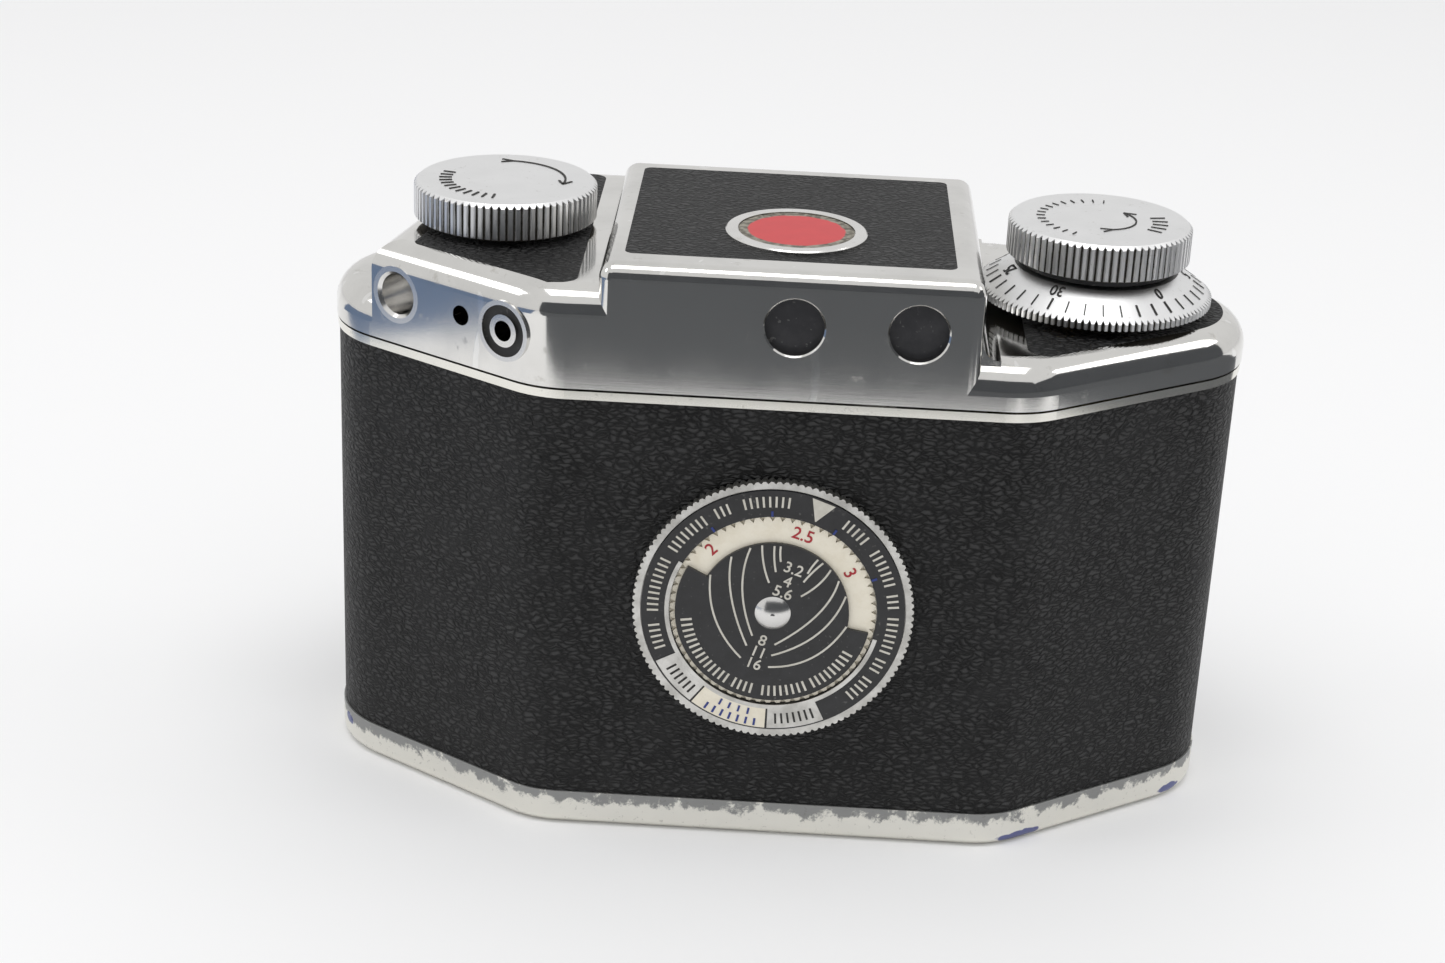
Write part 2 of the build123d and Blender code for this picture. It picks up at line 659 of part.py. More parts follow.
with BuildPart() as mirror_shelf:
    with BuildSketch(upward(SHELF_Z - 1.0)):
        with Locations((7.4, -2.0)):
            Rectangle(24.0, 20.0)
    extrude(amount=1.0)
    with BuildSketch(upward(SHELF_Z - 1.0)):
        with Locations((7.4, 6.9)):
            Rectangle(10.0, 2.2)
    extrude(amount=FINDER_TOP - HOUSING_WALL - SHELF_Z + 1.0)
finish(mirror_shelf, "mirror_shelf")

with BuildPart() as half_mirror:
    with BuildSketch(Plane(origin=(RANGEFINDER_X, MIRROR_Y, SHELF_Z), x_dir=(1, 1, 0), z_dir=(0, 0, 1))):
        Rectangle(MIRROR_WIDTH, MIRROR_THICK)
    extrude(amount=7.6)
finish(half_mirror, "half_mirror")

with BuildPart() as swing_mirror:
    pivot = (FRONT_MIRROR_X, MIRROR_Y, SHELF_Z + 0.2)
    with BuildSketch(Plane(origin=pivot, x_dir=(1, 1, 0), z_dir=(0, 0, 1))):
        Rectangle(MIRROR_WIDTH, MIRROR_THICK)
    extrude(amount=7.2)
    with BuildSketch(upward(SHELF_Z + 0.2, FRONT_MIRROR_X, MIRROR_Y)):
        Circle(1.2)
    extrude(amount=8.2)
finish(swing_mirror, "swing_mirror")

# ---- Flash socket and bracket bush on the rear slant -----------------------------------------------

finish(tube(on_slant(FLASH_AT, FLASH_Z, -0.25), -3.0, FLASH_RADIUS, 3.0), "flash_ring")
finish(tube(on_slant(FLASH_AT, FLASH_Z, 0.15), -4.6, 3.0, 1.9), "flash_insulator")
finish(tube(on_slant(FLASH_AT, FLASH_Z, -0.2), -5.4, 1.9, 1.2), "flash_contact")

BUSH_THREAD = 2.4
BUSH_LENGTH = 5.0
BUSH_BEVEL = 0.37

with BuildPart() as bracket_bush:
    with BuildSketch(on_slant(BUSH_AT, BUSH_Z)):
        Circle(BUSH_OUTER)
    extrude(amount=-BUSH_LENGTH - 0.8)
    with BuildSketch(on_slant(BUSH_AT, BUSH_Z)):
        Circle(BUSH_THREAD)
    extrude(amount=-BUSH_LENGTH, mode=Mode.SUBTRACT)
    with BuildSketch(on_slant(BUSH_AT, BUSH_Z)):
        Circle(BUSH_THREAD + BUSH_BEVEL)
    extrude(amount=-BUSH_BEVEL, taper=45, mode=Mode.SUBTRACT)
finish(bracket_bush, "bracket_bush")

# ---- Rewind side: knob, shaft, fork and the sleeve that lifts with them ---------------------------

finish(knurled_knob(REWIND_X, REWIND_KNOB_TOP, REWIND_DECK + 0.3), "rewind_knob")

with BuildPart() as rewind_shaft:
    with BuildSketch(upward(47.6, REWIND_X)):
        Circle(2.6)
    extrude(amount=5.2)
    with BuildSketch(upward(47.6, REWIND_X)):
        Rectangle(1.6, 8.0)
    extrude(amount=2.6, mode=Mode.SUBTRACT)
    with BuildSketch(upward(52.0, REWIND_X)):
        Circle(SHAFT_RADIUS)
    extrude(amount=REWIND_KNOB_TOP - 1.2 - 52.0)
finish(rewind_shaft, "rewind_shaft")

finish(tube(upward(DECK_PLATE_TOP, REWIND_X), REWIND_DECK - DECK_PLATE_TOP, 4.0, 2.85), "rewind_bush")
finish(tube(upward(56.0, REWIND_X), 10.8, 2.8, 1.65), "rewind_sleeve")

# ---- Wind side: knob that lifts on its shaft, sleeve, gear train, spool, sprocket and counter -------

SLEEVE_OUTER = 3.0
COUNTER_BOTTOM = 62.2
COUNTER_HEIGHT = 3.5
COUNTER_TEETH = 111
COUNTER_RADIUS = 13.7
WIND_KNOB_BOTTOM = WIND_KNOB_TOP - KNOB_HEIGHT

finish(knurled_knob(WIND_X, WIND_KNOB_TOP, WIND_KNOB_BOTTOM - 0.05), "wind_knob")
finish(tube(upward(58.2, WIND_X), WIND_KNOB_TOP - 1.2 - 58.2, SHAFT_RADIUS), "wind_shaft")

with BuildPart() as wind_bush:
    with BuildSketch(upward(57.6, WIND_X)):
        Circle(5.0)
        Circle(SLEEVE_OUTER + 0.05, mode=Mode.SUBTRACT)
    extrude(amount=COUNTER_BOTTOM + 3.4 - 57.6)
    with BuildSketch(upward(57.6, WIND_X)):
        Circle(6.4)
        Circle(5.0, mode=Mode.SUBTRACT)
    extrude(amount=WIND_DECK - HOUSING_WALL - 57.6)
finish(wind_bush, "wind_bush")

finish(tube(upward(65.95, WIND_X), 0.6, 9.0, SHAFT_RADIUS + 0.05), "friction_washer")

with BuildPart() as counter_dial:
    with BuildSketch(upward(COUNTER_BOTTOM, WIND_X)):
        add(toothed_outline(COUNTER_RADIUS, COUNTER_RADIUS - 0.55, COUNTER_TEETH, share=1.0))
    extrude(amount=COUNTER_HEIGHT)
    with BuildSketch(forward(0, WIND_X)):
        Polygon(
            (0, COUNTER_BOTTOM),
            (COUNTER_RADIUS + 0.1, COUNTER_BOTTOM),
            (COUNTER_RADIUS + 0.1, COUNTER_BOTTOM + 0.7),
            (9.6, COUNTER_BOTTOM + COUNTER_HEIGHT),
            (0, COUNTER_BOTTOM + COUNTER_HEIGHT),
            align=None,
        )
    revolve(axis=Axis((WIND_X, 0, 0), (0, 0, 1)), mode=Mode.INTERSECT)
    with BuildSketch(upward(COUNTER_BOTTOM, WIND_X)):
        Circle(5.3)
    extrude(amount=5, mode=Mode.SUBTRACT)
finish(counter_dial, "counter_dial")

GEAR_TEETH = 32
GEAR_PITCH = GEAR_DISTANCE / 2
GEAR_BOTTOM = 55.5
GEAR_THICK = 1.5
GEAR_TIP = GEAR_PITCH + 0.40
GEAR_ROOT = GEAR_PITCH - 0.55


def transport_gear(x, y, hole, turn):
    """Small spur gear of the film transport, with thin teeth so that a pair runs free."""
    with BuildPart() as gear:
        with BuildSketch(upward(GEAR_BOTTOM, x, y)):
            add(toothed_outline(GEAR_TIP, GEAR_ROOT, GEAR_TEETH, share=0.5, turn=turn))
            Circle(hole, mode=Mode.SUBTRACT)
        extrude(amount=GEAR_THICK)
    return gear


SPROCKET_SHAFT = 1.5
half_tooth = pi / GEAR_TEETH
in_mesh = GEAR_ANGLE + pi + half_tooth
finish(transport_gear(SPROCKET_X, SPROCKET_Y, SPROCKET_SHAFT, in_mesh), "sprocket_gear")

with BuildPart() as wind_sleeve:
    add(transport_gear(WIND_X, 0, 1.0, GEAR_ANGLE).part)
    with BuildSketch(upward(52.0, WIND_X)):
        Circle(SLEEVE_OUTER)
    extrude(amount=13.9)
    with BuildSketch(upward(57.8, WIND_X)):
        Circle(SHAFT_RADIUS + 0.05)
    extrude(amount=9.0, mode=Mode.SUBTRACT)
finish(wind_sleeve, "wind_sleeve")

with BuildPart() as sprocket:
    with BuildSketch(upward(3.4, SPROCKET_X, SPROCKET_Y)):
        Circle(SPROCKET_SHAFT)
    extrude(amount=GEAR_BOTTOM + GEAR_THICK + 0.4 - 3.4)
    with BuildSketch(upward(LENS_Z - 17.4, SPROCKET_X, SPROCKET_Y)):
        Circle(6.05)
    extrude(amount=34.8)
    for row in (-12.7, 12.7):
        with BuildSketch(upward(LENS_Z + row - 0.7, SPROCKET_X, SPROCKET_Y)):
            add(toothed_outline(7.05, 5.9, 8, share=0.3))
            Circle(5.5, mode=Mode.SUBTRACT)
        extrude(amount=1.4)
finish(sprocket, "sprocket")

SPOOL_FLANGE = 7.2

with BuildPart() as take_up_spool:
    with BuildSketch(upward(4.7, WIND_X)):
        Circle(SPOOL_FLANGE)
    extrude(amount=1.2)
    with BuildSketch(upward(4.7, WIND_X)):
        Circle(4.6)
    extrude(amount=47.0)
    with BuildSketch(upward(50.5, WIND_X)):
        Circle(SPOOL_FLANGE)
    extrude(amount=1.2)
    with BuildSketch(upward(10.0, WIND_X)):
        Rectangle(0.9, 12)
    extrude(amount=39.0, mode=Mode.SUBTRACT)
    with BuildSketch(upward(3.4, WIND_X)):
        Circle(1.5)
    extrude(amount=2.0)
finish(take_up_spool, "take_up_spool")

# ---- Chassis: deck plate, lower bearing plate, film box, film gate and front casting ---------------

CHASSIS_INSET = -LEATHER - SHELL_WALL - 0.4
BOX_HALF = GATE_WIDTH / 2 + 0.4
FRONT_WALL = 1.6

with BuildPart() as deck_plate:
    with BuildSketch(upward(DECK_PLATE_BOTTOM)):
        add(body_outline(CHASSIS_INSET))
        with Locations((REWIND_X, 0)):
            Circle(2.9, mode=Mode.SUBTRACT)
        with Locations((WIND_X, 0)):
            Circle(SLEEVE_OUTER + 0.05, mode=Mode.SUBTRACT)
        with Locations((SPROCKET_X, SPROCKET_Y)):
            Circle(SPROCKET_SHAFT + 0.05, mode=Mode.SUBTRACT)
    extrude(amount=DECK_PLATE_TOP - DECK_PLATE_BOTTOM)
    for x, y, top in (
        (46.0, -6.0, WIND_DECK - HOUSING_WALL),
        (15.0, 16.0, FINDER_TOP - HOUSING_WALL),
        (-15.0, 17.5, FINDER_TOP - HOUSING_WALL),
        (-46.0, -6.0, WIND_DECK - HOUSING_WALL),
    ):
        with BuildSketch(upward(DECK_PLATE_TOP, x, y)):
            Circle(2.2)
        extrude(amount=top - DECK_PLATE_TOP)
finish(deck_plate, "deck_plate")

BOX_BOTTOM = 4.6
BOX_BACK = FILM_PLANE - 1.5
WALL_LENGTH = BOX_BACK + HALF_DEPTH - LEATHER - FRONT_WALL
BAFFLE_LENGTH = 34.0

with BuildPart() as film_box:
    with BuildSketch(upward(BOX_BOTTOM)):
        for x in (BOX_HALF + 0.5, -BOX_HALF - 0.5):
            with Locations((x, BOX_BACK - WALL_LENGTH / 2)):
                Rectangle(1.0, WALL_LENGTH)
    extrude(amount=DECK_PLATE_BOTTOM - BOX_BOTTOM)
    for z in (LENS_Z - GATE_HEIGHT / 2 - 1.4, LENS_Z + GATE_HEIGHT / 2 + 0.4):
        with BuildSketch(upward(z)):
            with Locations((0, BOX_BACK - BAFFLE_LENGTH / 2)):
                Rectangle(2 * BOX_HALF, BAFFLE_LENGTH)
        extrude(amount=1.0)
    with BuildSketch(rearward(BOX_BACK, 0, LENS_Z)):
        with Locations((0, (BOX_BOTTOM + DECK_PLATE_BOTTOM) / 2 - LENS_Z)):
            Rectangle(2 * BOX_HALF + 2, DECK_PLATE_BOTTOM - BOX_BOTTOM)
        Rectangle(GATE_WIDTH, GATE_HEIGHT, mode=Mode.SUBTRACT)
    extrude(amount=1.5)
    with BuildSketch(rearward(FILM_PLANE, 0, LENS_Z)):
        with Locations((0, 16.6), (0, -16.6)):
            Rectangle(2 * BOX_HALF + 2, 1.2)
    extrude(amount=0.4)
    # Foot that carries the lower bearings of the spool and the sprocket.
    with BuildSketch(upward(BOX_BOTTOM - 1.2)):
        Polygon((-18.4, 17.0), (-30.5, 17.0), (-42.0, 6.0), (-42.0, -7.0), (-18.4, -7.0), align=None)
        with Locations((WIND_X, 0), (SPROCKET_X, SPROCKET_Y)):
            Circle(SPROCKET_SHAFT + 0.05, mode=Mode.SUBTRACT)
    extrude(amount=1.2)
finish(film_box, "film_box")

MOUNT_RADIUS = 12.9
MOUNT_BORE = 11.5

with BuildPart() as front_casting:
    with BuildSketch(upward(CASTING_BOTTOM)):
        add(body_outline(-LEATHER))
        add(body_outline(-LEATHER - FRONT_WALL), mode=Mode.SUBTRACT)
        with Locations((0, SEAM_Y - 0.15 + BODY_DEPTH)):
            Rectangle(2 * BODY_WIDTH, 2 * BODY_DEPTH, mode=Mode.SUBTRACT)
    extrude(amount=HOUSING_BOTTOM - CASTING_BOTTOM)
    with BuildSketch(forward(-HALF_DEPTH + 6, 0, LENS_Z)):
        Circle(MOUNT_RADIUS)
    extrude(amount=10, mode=Mode.SUBTRACT)
finish(front_casting, "front_casting")

# ---- Front: leather, lens board, focusing mount and shutter ----------------------------------------

BOARD_WIDTH = 40.0
BOARD_HEIGHT = 42.0
BOARD_Z = LENS_Z + 1.0
BOARD_FACE = -HALF_DEPTH - 0.8

with BuildPart() as front_leather:
    with BuildSketch(upward(BASE_RIM_TOP + 0.1)):
        add(body_outline(0))
        add(body_outline(-LEATHER), mode=Mode.SUBTRACT)
        with Locations((0, SEAM_Y - 0.15 + BODY_DEPTH)):
            Rectangle(2 * BODY_WIDTH, 2 * BODY_DEPTH, mode=Mode.SUBTRACT)
    extrude(amount=LEATHER_TOP - BASE_RIM_TOP - 0.1)
    with BuildSketch(forward(-HALF_DEPTH + 4, 0, BOARD_Z)):
        RectangleRounded(BOARD_WIDTH, BOARD_HEIGHT, 3.0)
    extrude(amount=6, mode=Mode.SUBTRACT)
finish(front_leather, "front_leather")

with BuildPart() as lens_board:
    with BuildSketch(forward(-HALF_DEPTH + LEATHER, 0, BOARD_Z)):
        RectangleRounded(BOARD_WIDTH, BOARD_HEIGHT, 3.0)
    extrude(amount=1.4)
    fillet(lens_board.edges().group_by(Axis.Y)[0], 0.5)
    with BuildSketch(forward(-HALF_DEPTH + 4, 0, LENS_Z)):
        Circle(MOUNT_RADIUS)
    extrude(amount=10, mode=Mode.SUBTRACT)
finish(lens_board, "lens_board")

with BuildPart() as board_screws:
    for side in (-1, 1):
        for level in (-1, 1):
            x = side * (BOARD_WIDTH / 2 - 3.2)
            z = BOARD_Z + level * (BOARD_HEIGHT / 2 - 3.2)
            with BuildSketch(forward(BOARD_FACE, x, z)):
                Circle(1.5)
            extrude(amount=0.5)
            with BuildSketch(forward(BOARD_FACE - 0.2, x, z)):
                Rectangle(3.2, 0.4)
            extrude(amount=0.5, mode=Mode.SUBTRACT)
finish(board_screws, "board_screws")

with BuildPart() as lens_mount:
    with BuildSketch(forward(-HALF_DEPTH + 5, 0, LENS_Z)):
        Circle(MOUNT_RADIUS)
    extrude(amount=8.2)
    with BuildSketch(forward(BOARD_FACE, 0, LENS_Z)):
        Circle(15.5)
    extrude(amount=0.8)
    with BuildSketch(forward(-HALF_DEPTH + 5, 0, LENS_Z)):
        Circle(MOUNT_BORE)
    extrude(amount=10, mode=Mode.SUBTRACT)
finish(lens_mount, "lens_mount")

FOCUS_BACK = BOARD_FACE - 1.0
FOCUS_DEPTH = 2.4

with BuildPart() as focus_ring:
    with BuildSketch(forward(FOCUS_BACK, 0, LENS_Z)):
        add(toothed_outline(16.6, 16.2, 90, share=1.0))
    extrude(amount=FOCUS_DEPTH)
    with BuildSketch(forward(FOCUS_BACK - 0.4, 0, LENS_Z)):
        with Locations((0, -18.0)):
            RectangleRounded(3.4, 8.0, 1.2)
    extrude(amount=1.6)
    with BuildSketch(forward(FOCUS_BACK - 2.0, 0, LENS_Z)):
        with Locations((0, -20.2)):
            Circle(1.6)
    extrude(amount=2.4)
    with BuildSketch(forward(FOCUS_BACK, 0, LENS_Z)):
        Circle(MOUNT_RADIUS + 0.1)
    extrude(amount=8, mode=Mode.SUBTRACT)
finish(focus_ring, "focus_ring")

SHUTTER_RADIUS = 15.4
SHUTTER_BACK = FOCUS_BACK - FOCUS_DEPTH - 0.4
SHUTTER_DEPTH = 3.6
SHUTTER_FRONT = SHUTTER_BACK - SHUTTER_DEPTH
CELL_RADIUS = 8.7

with BuildPart() as lens_barrel:
    with BuildSketch(forward(-HALF_DEPTH + 8, 0, LENS_Z)):
        Circle(MOUNT_BORE - 0.05)
        Circle(9.6, mode=Mode.SUBTRACT)
    extrude(amount=-HALF_DEPTH + 8 - SHUTTER_BACK)
    with BuildSketch(forward(-HALF_DEPTH + 5, 0, LENS_Z)):
        Circle(9.6)
        Circle(6.5, mode=Mode.SUBTRACT)
    extrude(amount=3.0)
finish(lens_barrel, "lens_barrel")

with BuildPart() as shutter_case:
    with BuildSketch(forward(SHUTTER_BACK, 0, LENS_Z)):
        Circle(SHUTTER_RADIUS)
    extrude(amount=SHUTTER_DEPTH)
    fillet(shutter_case.edges().group_by(Axis.Y)[0], 0.5)
    with BuildSketch(forward(SHUTTER_BACK, 0, LENS_Z)):
        Circle(CELL_RADIUS)
    extrude(amount=SHUTTER_DEPTH, mode=Mode.SUBTRACT)
    with BuildSketch(forward(SHUTTER_BACK, 0, LENS_Z)):
        Circle(SHUTTER_RADIUS - 1.2)
        Circle(CELL_RADIUS + 1.7, mode=Mode.SUBTRACT)
    extrude(amount=SHUTTER_DEPTH - 1.0, mode=Mode.SUBTRACT)
finish(shutter_case, "shutter_case")

# Iris and shutter leaves lie in the middle of the case, each leaf a separate sliver of steel.
def leaves(y, opening, sides, count):
    """Ring of thin leaves round an opening, parted by narrow radial gaps."""
    with BuildPart() as ring:
        with BuildSketch(forward(y, 0, LENS_Z)):
            Circle(CELL_RADIUS - 0.1)
            RegularPolygon(opening, sides, mode=Mode.SUBTRACT)
            with PolarLocations(CELL_RADIUS / 2, count):
                Rectangle(CELL_RADIUS + 1, 0.08, mode=Mode.SUBTRACT)
        extrude(amount=0.15)
    return ring


finish(leaves(SHUTTER_BACK - 1.2, 3.4, 5, 5), "iris_leaves")
finish(leaves(SHUTTER_BACK - 0.7, 0.3, 6, 3), "shutter_leaves")

with BuildPart() as aperture_lever:
    with BuildSketch(forward(SHUTTER_FRONT - 0.2, 0, LENS_Z)):
        Circle(11.0)
        with Locations((0, -13.0)):
            RectangleRounded(2.6, 8.6, 0.8)
        Circle(CELL_RADIUS + 0.1, mode=Mode.SUBTRACT)
    extrude(amount=0.6)
finish(aperture_lever, "aperture_lever")

SPEED_BACK = SHUTTER_FRONT - 1.0
SPEED_DEPTH = 1.8

with BuildPart() as speed_ring:
    with BuildSketch(forward(SPEED_BACK, 0, LENS_Z)):
        add(toothed_outline(12.6, 12.25, 72, share=1.0))
        Circle(CELL_RADIUS + 0.1, mode=Mode.SUBTRACT)
    extrude(amount=SPEED_DEPTH)
finish(speed_ring, "speed_ring")


def shutter_arm(turn, reach):
    """Small lever on the face of the shutter: a pivot by the rim, an arm outwards and a round finger tab."""
    x = LEVER_PIVOT * cos(turn)
    z = LENS_Z + LEVER_PIVOT * sin(turn)
    face = Plane(origin=(x, SHUTTER_FRONT - 0.2, z), x_dir=(cos(turn), 0, sin(turn)), z_dir=(0, -1, 0))
    with BuildPart() as arm:
        with BuildSketch(face):
            Circle(1.2)
            with Locations((reach / 2, 0)):
                Rectangle(reach, 1.6)
            with Locations((reach, 0)):
                Circle(1.5)
        extrude(amount=0.9)
        with BuildSketch(face):
            with Locations((reach, 0)):
                Circle(1.5)
        extrude(amount=2.2)
    return arm


LEVER_PIVOT = 14.1
COCKING_ANGLE = radians(150)
RELEASE_ANGLE = radians(35)
finish(shutter_arm(COCKING_ANGLE, 6.0), "cocking_lever")
finish(shutter_arm(RELEASE_ANGLE, 5.0), "release_lever")

# Front cell, which screws into the case and holds the speed ring on, and the glass.
CELL_FRONT = SPEED_BACK - SPEED_DEPTH - 1.6

with BuildPart() as front_cell:
    with BuildSketch(forward(SHUTTER_BACK - 1.8, 0, LENS_Z)):
        Circle(CELL_RADIUS)
    extrude(amount=SHUTTER_BACK - 1.8 - CELL_FRONT)
    with BuildSketch(forward(SPEED_BACK - SPEED_DEPTH - 0.1, 0, LENS_Z)):
        add(toothed_outline(10.4, 10.1, 60, share=1.0))
    extrude(amount=SPEED_BACK - SPEED_DEPTH - 0.1 - CELL_FRONT)
    with BuildSketch(forward(SHUTTER_BACK - 1.8, 0, LENS_Z)):
        Circle(7.0)
    extrude(amount=12, mode=Mode.SUBTRACT)
finish(front_cell, "front_cell")


def lens_element(back, radius, edge, front_bulge, back_bulge):
    """Round glass element: an edge band with a bulged or hollowed face on each side."""
    front = back - edge
    front_middle = (radius / 2, front - dome_height(front_bulge, radius, radius / 2))
    back_middle = (radius / 2, back + dome_height(back_bulge, radius, radius / 2))
    with BuildPart() as glass:
        with BuildSketch(upward(LENS_Z)):
            with BuildLine():
                Line((0, back + back_bulge), (0, front - front_bulge))
                ThreePointArc((0, front - front_bulge), front_middle, (radius, front))
                Line((radius, front), (radius, back))
                ThreePointArc((radius, back), back_middle, (0, back + back_bulge))
            make_face()
        revolve(axis=Axis((0, 0, LENS_Z), (0, 1, 0)))
    return glass


finish(lens_element(CELL_FRONT + 3.4, 7.0, 1.4, 1.3, 0.2), "front_element")
with BuildPart() as inner_elements:
    add(lens_element(-HALF_DEPTH + 4.6, 6.5, 1.6, 0.6, 0.8).part)
    add(lens_element(SHUTTER_BACK - 1.9, 7.0, 1.2, -0.4, -0.5).part)
finish(inner_elements, "inner_elements")
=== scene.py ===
import json
import math

import bmesh
import bpy
from mathutils import Matrix, Vector


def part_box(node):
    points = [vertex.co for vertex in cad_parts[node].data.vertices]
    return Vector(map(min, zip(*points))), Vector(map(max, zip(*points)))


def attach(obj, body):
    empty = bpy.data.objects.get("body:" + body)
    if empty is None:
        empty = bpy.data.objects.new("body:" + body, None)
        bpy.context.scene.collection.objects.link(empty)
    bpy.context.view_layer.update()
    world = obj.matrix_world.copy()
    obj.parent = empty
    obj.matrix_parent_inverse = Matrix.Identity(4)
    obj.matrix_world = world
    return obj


# Looks of a compact 35 mm camera seen from behind. Metres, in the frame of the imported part:
# +Z up, the lens looks along -Y, so the back with its dial faces +Y.

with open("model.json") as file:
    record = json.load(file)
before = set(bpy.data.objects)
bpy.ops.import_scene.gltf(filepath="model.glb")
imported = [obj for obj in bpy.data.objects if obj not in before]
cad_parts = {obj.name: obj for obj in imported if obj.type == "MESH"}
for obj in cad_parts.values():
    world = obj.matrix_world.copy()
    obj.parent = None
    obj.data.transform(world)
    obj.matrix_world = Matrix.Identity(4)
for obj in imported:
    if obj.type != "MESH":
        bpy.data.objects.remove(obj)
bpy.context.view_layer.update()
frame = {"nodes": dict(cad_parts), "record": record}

MM = 0.001
INK_LIFT = 0.03 * MM            # printed and engraved marks stand this far off the face under them
MARK_DEPTH = 0.05 * MM

# ---- Camera, floor and light ---------------------------------------------------------------------

CAMERA_PLACE = (0.00022, 0.29471, 0.1610)
CAMERA_TURN = math.pi + 0.02296     # about Z, from looking along +Y
CAMERA_PITCH = -0.40284             # below the horizon
CAMERA_ROLL = 0.04553
CAMERA_LENS = 65.29
CAMERA_SENSOR = 36.0                # lens and sensor width are in millimetres

FLOOR_SIZE = 6.0
FLOOR_PAPER = (0.93, 0.93, 0.935)
WORLD_COLOUR = (1.0, 1.0, 1.0)
WORLD_STRENGTH = 0.78
LIGHTS_AIM = (0, 0, 0.03)
SOFTBOXES = [
    # name, place, width and depth, power
    ("overhead_softbox", (0.0, 0.12, 0.75), (0.55, 0.30), 1.35),
    ("left_softbox", (0.70, 0.10, 0.60), (0.25, 0.25), 0.5),
    ("right_softbox", (-0.70, -0.05, 0.60), (0.25, 0.25), 0.5),
]

DARK = (0.085, 0.090, 0.098)
BLUE_GREY = (0.13, 0.19, 0.31)
LOW = 0.0005                        # cards on the floor lie this far above it
DARK_FLOOR = [
    (-1.0, -0.1, LOW), (-0.168, -0.1, LOW), (-0.168, 0.10, LOW), (-0.08, 0.166, LOW),
    (0.10, 0.166, LOW), (0.22, 0.30, LOW), (0.9, 1.2, LOW), (-1.0, 1.2, LOW),
]
DARK_WALL = [(-1.0, 1.2, LOW), (0.9, 1.2, LOW), (0.9, 1.2, 1.0), (-1.0, 1.2, 1.0)]
DARK_SIDE = [(-1.0, -0.1, LOW), (-1.0, 1.2, LOW), (-1.0, 1.2, 0.8), (-1.0, -0.1, 0.8)]
BLUE_SIDE = [(0.195, -0.10, LOW), (0.195, 0.17, LOW), (0.8, 0.9, LOW), (0.8, -0.3, LOW)]


def make_camera():
    data = bpy.data.cameras.new("camera")
    data.lens = CAMERA_LENS
    data.sensor_width = CAMERA_SENSOR
    data.clip_start = 0.01
    data.clip_end = 20.0
    camera = bpy.data.objects.new("camera", data)
    bpy.context.scene.collection.objects.link(camera)
    turn = Matrix.Rotation(CAMERA_TURN, 4, "Z")
    pitch = Matrix.Rotation(math.pi / 2 + CAMERA_PITCH, 4, "X")
    roll = Matrix.Rotation(CAMERA_ROLL, 4, "Z")
    camera.matrix_world = Matrix.Translation(CAMERA_PLACE) @ turn @ pitch @ roll
    bpy.context.scene.camera = camera


def make_world():
    world = bpy.data.worlds.new("studio")
    world.use_nodes = True
    background = world.node_tree.nodes["Background"]
    background.inputs["Color"].default_value = (*WORLD_COLOUR, 1)
    background.inputs["Strength"].default_value = WORLD_STRENGTH
    bpy.context.scene.world = world


def softbox(name, place, size, power):
    data = bpy.data.lights.new(name, "AREA")
    data.shape = "RECTANGLE"
    data.size, data.size_y = size
    data.energy = power
    light = bpy.data.objects.new(name, data)
    bpy.context.scene.collection.objects.link(light)
    light.location = place
    light.rotation_mode = "QUATERNION"
    light.rotation_quaternion = (Vector(LIGHTS_AIM) - Vector(place)).to_track_quat("-Z", "Y")


def card(name, corners, colour):
    """Flat card that only reflections see, as a studio flag or a coloured wall does."""
    mesh = bpy.data.meshes.new(name)
    mesh.from_pydata(corners, [], [tuple(range(len(corners)))])
    piece = bpy.data.objects.new(name, mesh)
    bpy.context.scene.collection.objects.link(piece)
    material = bpy.data.materials.new(name)
    material.use_nodes = True
    shader = material.node_tree.nodes["Principled BSDF"]
    shader.inputs["Base Color"].default_value = (*colour, 1)
    shader.inputs["Roughness"].default_value = 1.0
    mesh.materials.append(material)
    piece.visible_camera = False
    piece.visible_diffuse = False
    piece.visible_shadow = False
    piece.visible_transmission = False


def make_floor():
    mesh = bpy.data.meshes.new("floor")
    half = FLOOR_SIZE / 2
    corners = [(-half, -half, 0), (half, -half, 0), (half, half, 0), (-half, half, 0)]
    mesh.from_pydata(corners, [], [(0, 1, 2, 3)])
    floor = bpy.data.objects.new("floor", mesh)
    bpy.context.scene.collection.objects.link(floor)
    material = bpy.data.materials.new("floor_paper")
    material.use_nodes = True
    shader = material.node_tree.nodes["Principled BSDF"]
    shader.inputs["Base Color"].default_value = (*FLOOR_PAPER, 1)
    shader.inputs["Roughness"].default_value = 0.9
    shader.inputs["Specular IOR Level"].default_value = 0.1
    mesh.materials.append(material)


# ---- Node helpers ----------------------------------------------------------------------------------


